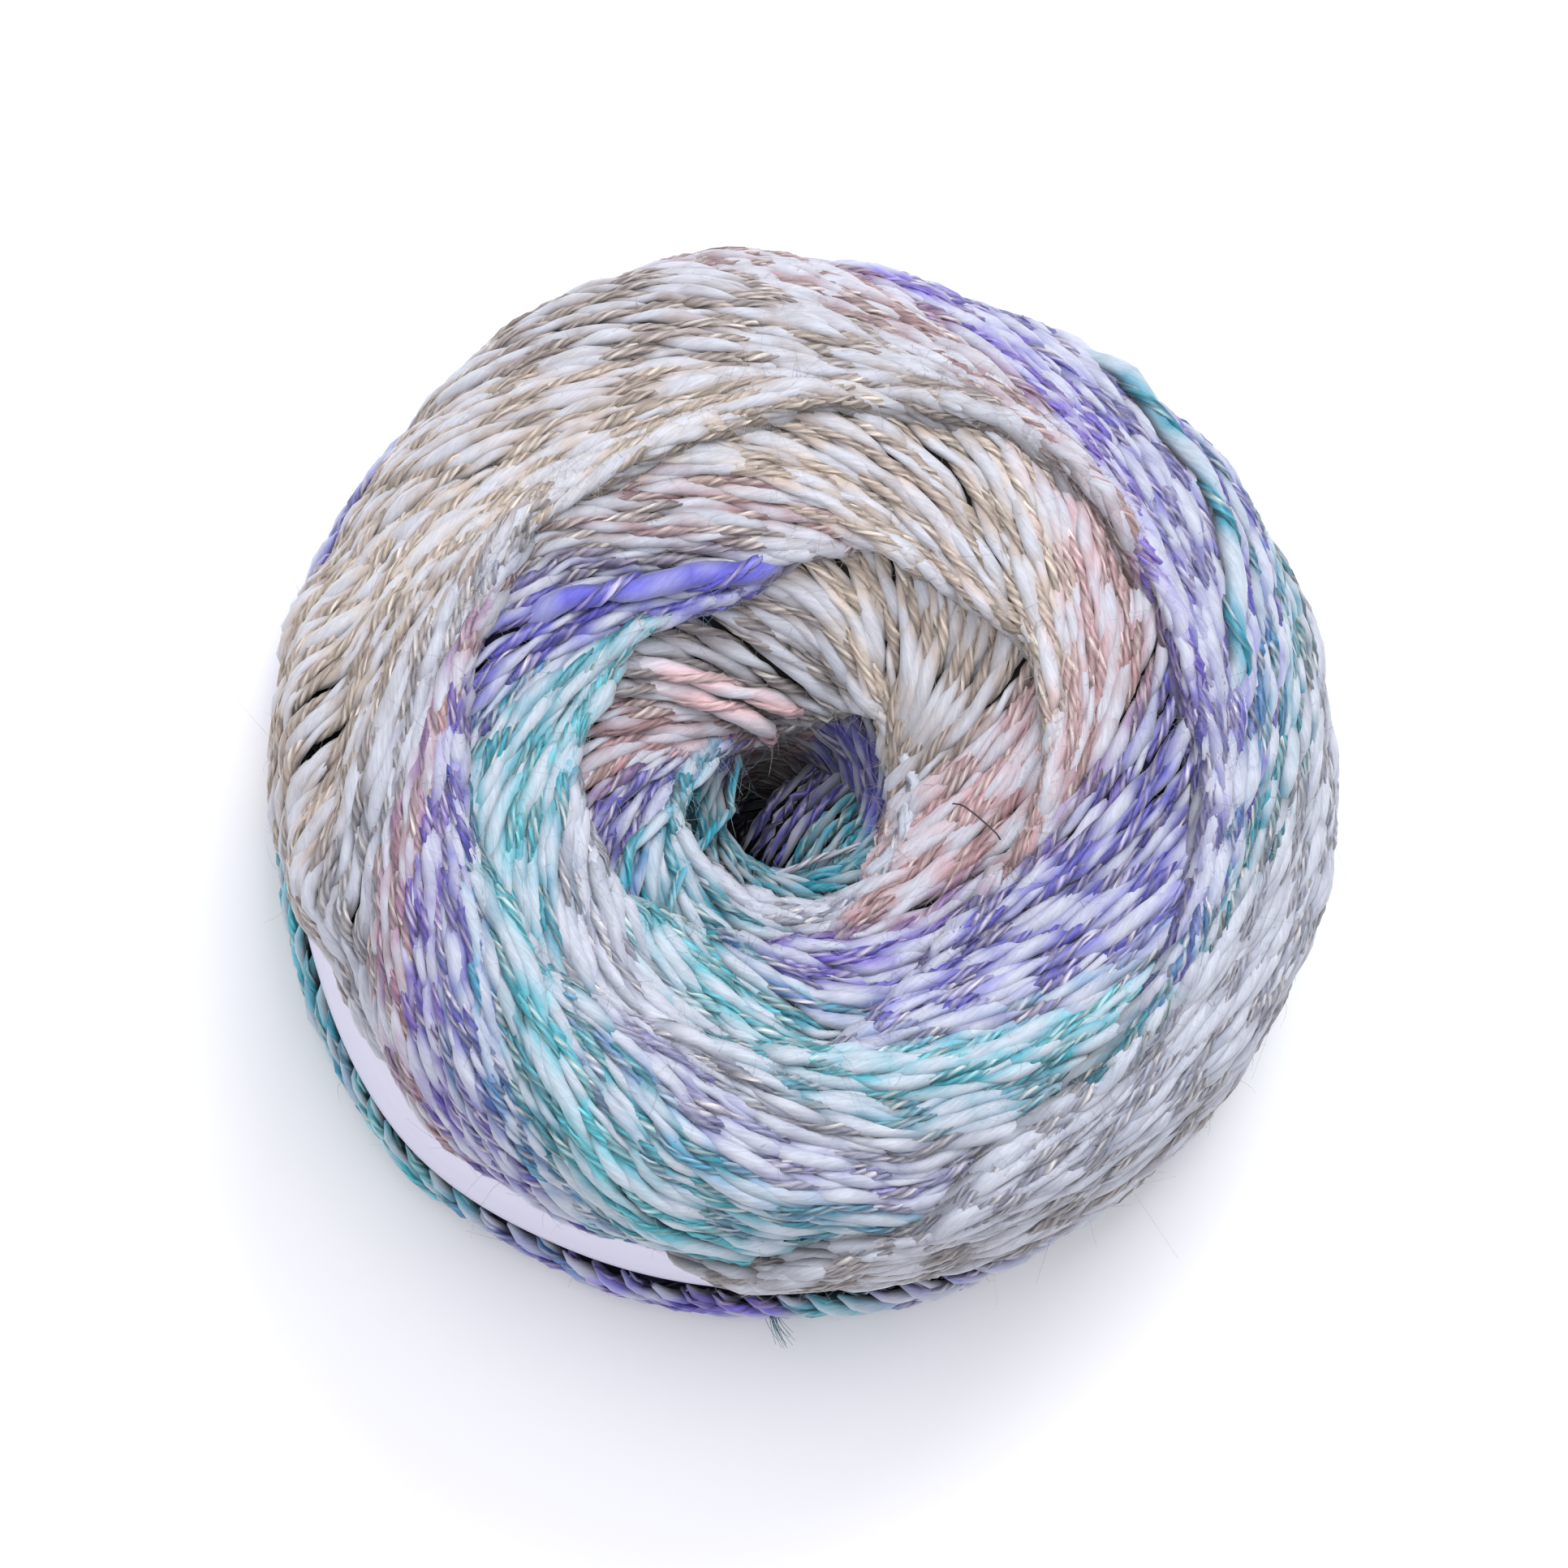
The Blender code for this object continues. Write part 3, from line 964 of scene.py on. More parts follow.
    def underside(self) -> list[Strand]:
        """The strands of the foot and the underside, which run out from the hole to the foot's side.

        Those of the foot end just below the band.
        """
        rng = np.random.default_rng(23)
        spiral = Rows(
            (
                # turn, distance from the hole's middle
                (0.0, 37.0),
                (360.0, 27.0),
                (720.0, 17.5),
                (1080.0, 9.0),
            )
        )
        foot_dyes = Rows(
            (
                # towards, turn on the dye chart
                (0.0, 330.0),
                (60.0, 345.0),
                (120.0, 372.0),
                (165.0, 362.0),
                (182.0, 566.0),
                (215.0, 576.0),
                (235.0, 545.0),
                (268.0, 538.0),
                (285.0, 590.0),
                (330.0, 612.0),
                (350.0, 618.0),
                (360.0, 618.0),
            )
        )
        along_and_distance = 191.5  # what these two add up to on the underside
        foot_end = 115.5  # along, where the foot's strands end, just below the band
        foot_turn = 360.0  # up to this turn of the spiral the strands are the foot's
        last_turn = 1080.0
        turn = 0.0
        number = 0
        strands = []
        while turn < last_turn:
            on_foot = turn < foot_turn
            inner = float(spiral.read(1, turn))
            sweep = 74.0 if on_foot else 62.0
            share = np.linspace(0.0, 1.0 if on_foot else 1.1, 50)
            turned = turn + sweep * share
            outer = np.full(len(share), along_and_distance - foot_end)
            if not on_foot:
                outer = np.where(turned < 361.0, outer, spiral.read(1, turned - 360.0))
            distance = inner + (outer - inner) * share**1.7
            along = along_and_distance - distance
            flat = smooth_step(along, 126.0, 138.0)
            sunk = 0.3 if on_foot else 0.9  # how far the strand's outer part lies under the next
            lift = -1.15 * flat - 0.35 * (1.0 - flat) - sunk * share * flat
            lift = lift + rng.normal(0.0, 0.12) - 0.25
            growth = (float(outer[-1]) - inner) / math.radians(sweep)
            middle = inner + 0.4 * (float(outer[-1]) - inner)
            gap = math.degrees(self.foot_pitch * math.hypot(middle, growth) / (middle * growth))
            if on_foot:
                dye_turn = foot_dyes.read(1, np.mod(-turned, 360.0)) + rng.normal(0.0, 5.0)
            else:
                dye_turn = 262.0 + np.mod(-turned * 1.7 + 40.0 + rng.normal(0.0, 10.0), 620.0)
            dye = self.chart.colour(dye_turn)
            along = along + 0.25 * Wander(rng, (47.0, 29.0)).at(turned)
            zone = Zone.FOOT if on_foot else Zone.UNDERSIDE
            slub = 0.55 + rng.normal(0.0, 0.2)
            strands.append(Strand(-turned, along, lift, dye, slub, zone, 20000 + number, 0.95))
            turn += gap
            number += 1
        return strands

    def hole(self) -> list[Strand]:
        """The strands that line the hole, steep and close together, in the dark of the winding."""
        rng = np.random.default_rng(31)
        dyes = Rows(
            (
                # towards, turn on the dye chart
                (0.0, 1221.0),
                (60.0, 1224.0),
                (90.0, 1176.0),
                (150.0, 1218.0),
                (200.0, 1252.0),
                (260.0, 1262.0),
                (320.0, 1246.0),
                (345.0, 1224.0),
                (360.0, 1221.0),
            )
        )
        strands = []
        for number in range(self.hole_strands):
            along = np.linspace(self.hole_top, self.hole_end, 66)
            first = 360.0 * number / self.hole_strands
            degrees = first - self.hole_twist * (self.hole_top - along)
            lift = np.full(len(along), -0.4) + rng.normal(0.0, 0.2)
            lift = lift - 1.2 * smooth_step(along, 7.0, self.hole_top)
            dye = self.chart.colour(dyes.read(1, np.mod(degrees, 360.0)))
            lit = 0.45 + 0.55 * (0.5 + 0.5 * np.cos(np.radians(degrees - 300.0)))
            shade = 0.12 + 0.7 * smooth_step(along, -9.0, 7.0) * lit
            seed = 30000 + number
            strands.append(
                Strand(degrees, along, lift, dye, 0.25, Zone.HOLE, seed, girth=0.95, shade=shade)
            )
        strands.append(self._inner_end())
        return strands

    def _inner_end(self) -> Strand:
        """The yarn's inner end, a few loose turns pushed down into the hole."""
        turns = 5.2
        degrees = np.linspace(0.0, 360.0 * turns, 190)
        along = -34.0 + 2.5 * np.sin(np.radians(degrees * 0.71))
        inwards = np.linspace(0.4, 5.0, len(degrees))
        dye = self.chart.colour(np.full(len(degrees), 1221.0))
        return Strand(
            degrees, along, inwards, dye, 0.1, Zone.HOLE, 30100, girth=1.1, shade=0.12
        )

    def across_the_hole(self) -> list[Strand]:
        """The strands that cross the hole's lower right steeply, and a thin pale one over them."""
        purple, teal, silver = 1221.0, 1256.0, 1300.0  # turns on the dye chart
        strands = []
        for number in range(self.wall_strands):
            share = 0.12 + 0.88 * number / (self.wall_strands - 1)
            first = (5.8 + 4.5 * share, 7.4 - 10.4 * share)
            last = (-8.4 + 10.6 * share, -6.4 - 6.6 * share)
            bow = (-1.3 + 0.4 * share, 0.6)
            middle = tuple(0.5 * (a + b) + c for a, b, c in zip(first, last, bow))
            strand = self._wall_strand(
                (first, middle, last), -9.0 + 14.0 * share, purple if share < 0.62 else teal,
                0.3 + 0.55 * share, 0.82, 0.35, 30200 + number,
            )
            strands.append(strand)
        pale = ((8.6, -6.3), (2.0, -8.3), (-6.0, -11.9))
        strands.append(self._wall_strand(pale, 7.0, silver, 1.0, 0.5, 0.3, 30300))
        return strands

    def _wall_strand(
        self, seen: tuple[tuple[float, float], ...], along: float, dye_turn: float, shade: float,
        girth: float, slub: float, seed: int,
    ) -> Strand:
        """A strand in the hole, laid where it is seen from the front.

        Args:
            seen: places right of and above the mouth's middle, in millimetres as seen.
            along: how deep it lies, as a place along the section.
            dye_turn: the dye's turn on the chart.
            shade: how much light it gets.
            girth: its girth.
            slub: how thick its white ply is.
            seed: its chance.

        Returns:
            The strand.
        """
        form = self.form
        share = np.linspace(0.0, len(seen) - 1.0, 26)
        curve = Rows(tuple((float(k), *place) for k, place in enumerate(seen)))
        height = float(form.section.read(2, along))
        lean = float(form.section.read(3, along))
        off = math.tan(self.seen_tilt) * (self.seen_height - height) - lean
        right = curve.read(1, share) + off * math.cos(form.lean_towards)
        up = curve.read(2, share) + off * math.sin(form.lean_towards)
        degrees = np.degrees(np.unwrap(np.arctan2(up, right)))
        lift = float(form.section.read(1, along)) - np.hypot(right, up)
        dye = np.repeat(self.chart.colour(np.array([dye_turn])), len(share), axis=0)
        places = np.full(len(share), along)
        return Strand(degrees, places, lift, dye, slub, Zone.HOLE, seed, girth, shade)

    def loose(self) -> list[Strand]:
        """The strands that lie loose over the rest: loops at the hole and a few bold slubs."""
        routes = (
            # dye's turn, slub, girth, rise, stain, (degrees, distance as seen), ...
            (
                1250.0, 0.1, 0.62, 1.6, 0.2,
                ((128.0, 8.4), (142.0, 7.6), (160.0, 7.4), (180.0, 8.0), (194.0, 9.8),
                 (204.0, 12.6), (210.0, 15.2), (216.0, 19.1), (225.0, 23.6), (229.0, 27.0)),
            ),
            (
                1262.0, 0.55, 0.8, 1.5, 0.0,
                ((140.0, 10.8), (158.0, 12.0), (172.0, 13.4), (180.0, 14.8), (188.0, 15.8),
                 (195.0, 19.7), (200.0, 23.0), (210.0, 25.1), (217.0, 27.2)),
            ),
            (
                325.0, 1.0, 1.2, 2.2, 0.0,
                ((5.0, 50.4), (15.0, 54.9), (22.0, 55.7), (30.0, 59.0), (38.0, 60.9),
                 (46.0, 61.6), (55.0, 63.6), (62.0, 65.0)),
            ),
            (
                838.0, 0.9, 1.4, 2.4, 0.45,
                ((84.0, 31.2), (95.0, 29.2), (107.0, 28.5), (120.0, 30.4), (132.0, 33.6),
                 (142.0, 37.0), (150.0, 40.0)),
            ),
            (
                1060.0, 0.95, 1.1, 1.9, 0.0,
                ((74.0, 10.0), (90.0, 10.8), (106.0, 12.4), (118.0, 14.4), (130.0, 18.4),
                 (139.0, 22.4), (146.0, 26.5)),
            ),
            (
                1050.0, 0.9, 1.1, 1.9, 0.05,
                ((94.0, 7.8), (108.0, 8.8), (120.0, 10.8), (131.0, 14.0), (141.0, 19.0),
                 (148.0, 24.4)),
            ),
        )
        strands = []
        for number, (dye_turn, slub, girth, rise, stain, route) in enumerate(routes):
            points = np.array(route)
            places = np.linspace(0.0, len(points) - 1.0, 12 * len(points))
            numbered = np.column_stack((np.arange(len(points), dtype=float), points))
            smooth = Rows(tuple(map(tuple, numbered)))
            degrees = smooth.read(1, places)
            along = self.form.along_at(degrees, smooth.read(2, places))
            ends = np.minimum(places, places[::-1])
            lift = rise - self.tucked * (1.0 - smooth_step(ends, 0.0, 1.6))
            dye = np.repeat(self.chart.colour(np.array([dye_turn])), len(places), axis=0)
            seed = 40000 + number
            strands.append(
                Strand(degrees, along, lift, dye, slub, Zone.TOP, seed, girth, 1.0, stain, 1200.0)
            )
        return strands


@dataclass
class Fuzz:
    """The fine hairs that stand off the yarn."""

    hair_radius: float = 0.026  # thicker than a real fibre, so that it shows
    count: int = 5000
    at_creases: float = 0.4  # share of the hairs that stand where the strands rise from a crease
    length_shape: float = 3.0  # of the gamma distribution that the lengths are drawn from
    length_scale: float = 0.72
    steps: int = 5  # places along a hair
    curl_radius: float = 0.13

    def grow(self, strands: list[Strand], form: CakeForm, seed: int) -> PlyMesh:
        """Grows hairs from the strands.

        Args:
            strands: what the hairs grow from.
            form: the cake's shape.
            seed: the hairs' own chance.

        Returns:
            The mesh of hairs.
        """
        rng = np.random.default_rng(seed)
        mesh = PlyMesh()
        weights = {Zone.TOP: 1.6, Zone.FOOT: 0.6, Zone.UNDERSIDE: 0.3}
        shares = np.array([len(s.along) * weights[s.zone] for s in strands])
        owners = rng.choice(len(strands), self.count, p=shares / shares.sum())
        for owner in owners:
            strand = strands[owner]
            k = int(rng.integers(2, len(strand.along) - 2))
            if strand.zone is Zone.TOP and rng.uniform() < self.at_creases:
                k = int(rng.integers(8, 22))
            near = form.place(
                strand.degrees[k - 1 : k + 2], strand.along[k - 1 : k + 2], strand.lift[k - 1 : k + 2]
            )
            heading = near[2] - near[0]
            heading /= np.linalg.norm(heading) + 1e-9
            outwards, upwards = form.normal(strand.along[k : k + 1])
            angle = math.radians(strand.degrees[k])
            normal = np.array(
                (outwards[0] * math.cos(angle), outwards[0] * math.sin(angle), upwards[0])
            )
            across = np.cross(heading, normal)
            length = rng.gamma(self.length_shape, self.length_scale)
            way = heading * rng.normal(0.0, 1.0) + across * rng.normal(0.0, 0.8)
            way = way + normal * abs(rng.normal(0.35, 0.3))
            way /= np.linalg.norm(way)
            bend = (across * rng.normal(0.0, 1.0) + heading * rng.normal(0.0, 1.0)) * 0.75
            bend = bend + normal * rng.normal(-0.3, 0.35)
            t = np.linspace(0.0, 1.0, self.steps)[:, None]
            start = near[1] + normal * 0.7 + across * rng.normal(0.0, 0.5)
            path = start + length * (way * t + bend * t * t)
            path[:, 2] = np.maximum(path[:, 2], 0.15)
            radius = self.hair_radius * (1.0 - 0.6 * t[:, 0])
            tone = np.clip(strand.dye[k] * 0.5 + 0.22 + rng.normal(0.0, 0.06), 0.0, 1.0)
            self.add_hair(mesh, path, radius, tone)
        return mesh

    def threads(self, form: CakeForm, mesh: PlyMesh) -> None:
        """Adds the single fibres that catch the eye: a wisp at the foot and a dark curl.

        Args:
            form: the cake's shape.
            mesh: the mesh of hairs.
        """
        rng = np.random.default_rng(53)
        share = np.linspace(0.0, 1.0, 9)
        teal = linear("#1C93A8")
        for _ in range(16):
            degrees = 270.4 + rng.normal(0.0, 0.35) + rng.normal(1.4, 0.5) * share**1.5
            out = rng.uniform(2.6, 5.0) * share
            along = np.full(len(share), 121.0)
            path = form.place(degrees, along, out - 0.4)
            path[:, 2] += rng.normal(0.0, 0.4) * share
            self.add_hair(mesh, path, 0.05 * (1.0 - 0.5 * share), teal * rng.uniform(0.5, 0.9))
        curl = Rows(
            (
                # share, towards, distance as seen
                (0.0, 354.9, 19.9),
                (0.5, 354.1, 22.0),
                (0.75, 349.0, 24.6),
                (1.0, 346.2, 26.2),
            )
        )
        seen = curl.read(2, share) + 0.3 * np.sin(math.tau * 1.5 * share)
        degrees = curl.read(1, share)
        path = form.place(degrees, form.along_at(degrees, seen), 2.6 + 0.8 * np.sin(math.pi * share))
        radius = np.full(len(share), self.curl_radius)
        self.add_hair(mesh, path, radius, linear("#3A3B42"))

    @staticmethod
    def add_hair(mesh: PlyMesh, path: np.ndarray, radius: np.ndarray, tone: np.ndarray) -> None:
        """Adds one three-sided hair."""
        heading = path[-1] - path[0]
        heading /= np.linalg.norm(heading) + 1e-9
        helper = np.array((0.31, 0.17, 0.94)) if abs(heading[2]) < 0.9 else np.array((1.0, 0.0, 0.0))
        first = np.cross(heading, helper)
        first /= np.linalg.norm(first)
        second = np.cross(heading, first)
        round_it = math.tau * np.arange(3) / 3
        rings = path[:, None, :] + radius[:, None, None] * (
            np.cos(round_it)[None, :, None] * first + np.sin(round_it)[None, :, None] * second
        )
        colours = np.broadcast_to(tone, rings.shape)
        mesh.add_tube(rings, np.linspace(0.0, 1.0, len(path)), colours, np.zeros(len(path)))


def add_node(
    material: bpy.types.Material, kind: str, settings: dict | None = None, links: dict | None = None
) -> bpy.types.Node:
    """Adds a node to a material with its settings and links.

    Args:
        material: the material.
        kind: the node's type.
        settings: the node's own properties by name.
        links: values or output sockets by input name or number.

    Returns:
        The node.
    """
    node = material.node_tree.nodes.new(kind)
    for name, value in (settings or {}).items():
        setattr(node, name, value)
    for name, value in (links or {}).items():
        if isinstance(value, bpy.types.NodeSocket):
            material.node_tree.links.new(value, node.inputs[name])
        else:
            node.inputs[name].default_value = value
    return node


def new_material(name: str) -> tuple[bpy.types.Material, bpy.types.Node]:
    """A material with its Principled shader."""
    material = bpy.data.materials.new(name)
    material.use_nodes = True
    return material, material.node_tree.nodes["Principled BSDF"]


@dataclass(frozen=True)
class SlubWool:
    """Loosely spun white wool: matt and soft, with fine fibres along it and a pale bloom.

    Deep between the strands, on the core, a copy of the same wool shows no bloom; its colour there is
    painted shade.
    """

    name: str = "loosely_spun_slub_wool"
    roughness: float = 0.92
    sheen: float = 0.35
    fibre_length: float = 5.0
    fibres_round: float = 7.0
    bump: float = 0.35

    def build(self) -> bpy.types.Material:
        """Makes the material, which takes its tint from the dye attribute."""
        material, shader = new_material(self.name)
        uv = add_node(material, "ShaderNodeUVMap", {"uv_map": "length_and_turn"})
        fibres = add_node(
            material, "ShaderNodeMapping", None,
            {"Vector": uv.outputs["UV"], "Scale": (1.0 / self.fibre_length, self.fibres_round, 1.0)},
        )
        noise = add_node(
            material, "ShaderNodeTexNoise", {"noise_dimensions": "2D"},
            {"Vector": fibres.outputs["Vector"], "Scale": 2.4, "Detail": 3.0, "Roughness": 0.6},
        )
        dye = add_node(material, "ShaderNodeAttribute", {"attribute_name": "dye"})
        shade = add_node(
            material, "ShaderNodeMapRange", None,
            {"Value": noise.outputs["Fac"], "From Min": 0.3, "From Max": 0.7, "To Min": 0.84,
             "To Max": 1.06},
        )
        colour = add_node(
            material, "ShaderNodeVectorMath", {"operation": "SCALE"},
            {"Vector": dye.outputs["Color"], "Scale": shade.outputs["Result"]},
        )
        bump = add_node(
            material, "ShaderNodeBump", None,
            {"Height": noise.outputs["Fac"], "Strength": self.bump, "Distance": 0.12 * MM},
        )
        links = material.node_tree.links
        links.new(colour.outputs["Vector"], shader.inputs["Base Color"])
        links.new(bump.outputs["Normal"], shader.inputs["Normal"])
        shader.inputs["Roughness"].default_value = self.roughness
        shader.inputs["Specular IOR Level"].default_value = 0.25
        shader.inputs["Sheen Weight"].default_value = self.sheen
        shader.inputs["Sheen Roughness"].default_value = 0.5
        return material


@dataclass(frozen=True)
class FilamentYarn:
    """Dyed filament yarn: long bright fibres that catch the light in thin streaks."""

    roughness: float = 0.42
    filament_length: float = 9.0
    filaments_round: float = 2.6
    bump: float = 0.6

    def build(self) -> bpy.types.Material:
        """Makes the material, which takes its colour from the dye attribute."""
        material, shader = new_material("dyed_filament_yarn")
        uv = add_node(material, "ShaderNodeUVMap", {"uv_map": "length_and_turn"})
        filaments = add_node(
            material, "ShaderNodeMapping", None,
            {"Vector": uv.outputs["UV"],
             "Scale": (1.0 / self.filament_length, self.filaments_round, 1.0)},
        )
        noise = add_node(
            material, "ShaderNodeTexNoise", {"noise_dimensions": "2D"},
            {"Vector": filaments.outputs["Vector"], "Scale": 2.2, "Detail": 3.0, "Roughness": 0.65},
        )
        dye = add_node(material, "ShaderNodeAttribute", {"attribute_name": "dye"})
        shade = add_node(
            material, "ShaderNodeMapRange", None,
            {"Value": noise.outputs["Fac"], "From Min": 0.3, "From Max": 0.7, "To Min": 0.62,
             "To Max": 1.35},
        )
        colour = add_node(
            material, "ShaderNodeVectorMath", {"operation": "SCALE"},
            {"Vector": dye.outputs["Color"], "Scale": shade.outputs["Result"]},
        )
        bump = add_node(
            material, "ShaderNodeBump", None,
            {"Height": noise.outputs["Fac"], "Strength": self.bump, "Distance": 0.15 * MM},
        )
        links = material.node_tree.links
        links.new(colour.outputs["Vector"], shader.inputs["Base Color"])
        links.new(bump.outputs["Normal"], shader.inputs["Normal"])
        shader.inputs["Roughness"].default_value = self.roughness
        shader.inputs["Specular IOR Level"].default_value = 0.6
        shader.inputs["Sheen Weight"].default_value = 0.15
        return material


@dataclass(frozen=True)
class WoolHair:
    """Single wool fibres that stand off the yarn: pale and matt."""

    roughness: float = 0.7

    def build(self) -> bpy.types.Material:
        """Makes the material, which takes its tone from the dye attribute."""
        material, shader = new_material("stray_wool_fibre")
        dye = add_node(material, "ShaderNodeAttribute", {"attribute_name": "dye"})
        uv = add_node(material, "ShaderNodeUVMap", {"uv_map": "length_and_turn"})
        noise = add_node(
            material, "ShaderNodeTexNoise", {"noise_dimensions": "2D"},
            {"Vector": uv.outputs["UV"], "Scale": 3.0},
        )
        colour = add_node(
            material, "ShaderNodeHueSaturation", None,
            {"Color": dye.outputs["Color"], "Value": noise.outputs["Fac"], "Saturation": 0.8},
        )
        brighter = add_node(
            material, "ShaderNodeVectorMath", {"operation": "SCALE"},
            {"Vector": colour.outputs["Color"], "Scale": 1.9},
        )
        material.node_tree.links.new(brighter.outputs["Vector"], shader.inputs["Base Color"])
        shader.inputs["Roughness"].default_value = self.roughness
        return material


@dataclass(frozen=True)
class BandPaper:
    """Uncoated machine paper: matt and pale with a faint cloudy look against the light."""

    colour: str = "#D3D1E4"
    roughness: float = 0.72
    cloud: float = 9.0

    def build(self) -> bpy.types.Material:
        """Makes the material, with clouds and fibres in object space."""
        material, shader = new_material("uncoated_band_paper")
        place = add_node(material, "ShaderNodeTexCoord")
        clouds = add_node(
            material, "ShaderNodeTexNoise", None,
            {"Vector": place.outputs["Object"], "Scale": 1.0 / (self.cloud * MM), "Detail": 3.0},
        )
        fibres = add_node(
            material, "ShaderNodeTexNoise", None,
            {"Vector": place.outputs["Object"], "Scale": 1.0 / (0.5 * MM), "Detail": 4.0},
        )
        base = linear(self.colour)
        tones = add_node(
            material, "ShaderNodeMix", {"data_type": "RGBA"},
            {"Factor": clouds.outputs["Fac"], "A": (*(base * 0.94), 1.0), "B": (*(base * 1.03), 1.0)},
        )
        bump = add_node(
            material, "ShaderNodeBump", None,
            {"Height": fibres.outputs["Fac"], "Strength": 0.12, "Distance": 0.05 * MM},
        )
        links = material.node_tree.links
        links.new(tones.outputs["Result"], shader.inputs["Base Color"])
        links.new(bump.outputs["Normal"], shader.inputs["Normal"])
        shader.inputs["Roughness"].default_value = self.roughness
        shader.inputs["Specular IOR Level"].default_value = 0.35
        return material


@dataclass
class WoundYarn:
    """The wound yarn: all the strands, the core that closes the gaps between them, and the fuzz."""

    form: CakeForm
    chart: DyeChart
    core_inset: float = 1.7
    core_painted_shade: float = 0.08  # painted shade: this share of the dye beside it, as little light gets down there
    zones: tuple[tuple[str, float, float], ...] = (
        # piece, from this turn of the winding, to this turn
        ("outer_layer", 0.0, 400.0),
        ("second_layer", 400.0, 560.0),
        ("third_layer", 560.0, 800.0),
        ("inner_layers", 800.0, 2000.0),
    )

    def build(self) -> None:
        """Lays and spins the strands and adds every piece of the yarn."""
        layers = Layers(self.form, Winding(self.form), self.chart)
        top = layers.top()
        loose = layers.loose()
        under = layers.underside()
        hole = layers.hole() + layers.across_the_hole()
        LOG.info("strands: %d on top, %d below, %d in the hole", len(top), len(under), len(hole))
        fine = PlyDetail(steps_a_turn=8.5, slub_sides=7, bundle_sides=8)
        plain = PlyDetail(steps_a_turn=7.0, slub_sides=6, bundle_sides=6)
        wool = SlubWool().build()
        filament = FilamentYarn().build()
        seen = top + loose
        for name, low, high in self.zones:
            strands = [strand for strand in seen if low <= strand.turn < high]
            self._spin_piece(name, strands, fine, wool, filament)
        self._spin_piece("foot_and_underside", under + hole, plain, wool, filament)
        # the core's wool has no bloom, and its dark colour is painted shade
        self._add_core(seen + under + hole, SlubWool("wool_painted_in_shade", 1.0, sheen=0.0).build())
        hair = WoolHair().build()
        halfway = self.zones[2][1]
        outer = [strand for strand in seen if strand.turn < halfway]
        inner = [strand for strand in seen if strand.turn >= halfway]
        fuzz = Fuzz()
        outer_hairs = fuzz.grow(outer + under, self.form, seed=47)
        inner_hairs = fuzz.grow(inner, self.form, seed=48)
        fuzz.threads(self.form, inner_hairs)
        self._finish(outer_hairs, "outer_stray_fibres", hair)
        self._finish(inner_hairs, "inner_stray_fibres", hair)

    def _spin_piece(
        self, name: str, strands: list[Strand], detail: PlyDetail, wool: bpy.types.Material,
        filament: bpy.types.Material,
    ) -> None:
        """Spins one zone's strands into a slub piece and a filament piece."""
        yarn = TwoPlyYarn(self.form)
        slub = PlyMesh()
        dyed = PlyMesh()
        for strand in strands:
            yarn.spin(strand, detail, slub, dyed)
        self._finish(slub, name + "_slub_ply", wool)
        self._finish(dyed, name + "_dyed_ply", filament)

    @staticmethod
    def _finish(mesh: PlyMesh, name: str, material: bpy.types.Material) -> None:
        """Makes the piece, gives it its material and lets it ride."""
        piece = mesh.to_object(name)
        piece.data.materials.append(material)
        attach(piece, "root")
        LOG.info("%s: %d triangles", name, mesh.triangles())

    def _add_core(self, strands: list[Strand], wool: bpy.types.Material) -> None:
        """Adds the wound body under the strands, with the dye of the strand that lies nearest, darkened
        as painted shade.
        """
        body = frame["nodes"]["yarn_cake"]
        bpy.ops.object.select_all(action="DESELECT")
        core = body.copy()
        core.data = body.data.copy()
        core.name = "wound_core"
        core.data.name = "wound_core"
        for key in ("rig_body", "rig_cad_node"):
            if key in core:
                del core[key]
        core.parent = None
        bpy.context.scene.collection.objects.link(core)
        core.select_set(True)
        bpy.context.view_layer.objects.active = core
        bpy.ops.object.mode_set(mode="EDIT")
        bpy.ops.mesh.select_all(action="SELECT")
        bpy.ops.mesh.remove_doubles(threshold=0.00001)
        bpy.ops.object.mode_set(mode="OBJECT")
        core.data.shade_smooth()
        inset = core.modifiers.new("Inset", "DISPLACE")
        inset.mid_level = 0.0
        inset.strength = -self.core_inset * MM
        bpy.ops.object.modifier_apply(modifier="Inset")
        self._paint_core_shade(core, strands)
        core.data.materials.clear()
        core.data.materials.append(wool)
        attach(core, "root")
        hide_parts("yarn_cake")

    def _paint_core_shade(self, core: bpy.types.Object, strands: list[Strand]) -> None:
        """Gives the core's points the dye of the nearest strand, darkened as painted shade."""
        places = []
        dyes = []
        for strand in strands:
            some = slice(None, None, 6)
            places.append(
                self.form.place(strand.degrees[some], strand.along[some], strand.lift[some]) * MM
            )
            dyes.append(strand.dye[some])
        places = np.concatenate(places)
        dyes = np.concatenate(dyes)
        tree = KDTree(len(places))
        for k, place in enumerate(places):
            tree.insert(place, k)
        tree.balance()
        mesh = core.data
        dye = mesh.color_attributes.new(name="dye", type="FLOAT_COLOR", domain="POINT")
        for k, vertex in enumerate(mesh.vertices):
            _, nearest, _ = tree.find(vertex.co)
            # painted shade: the nearest strand's dye, darkened
            dye.data[k].color = (*(dyes[nearest] * self.core_painted_shade), 1.0)
        if not mesh.uv_layers:
            mesh.uv_layers.new(name="length_and_turn")


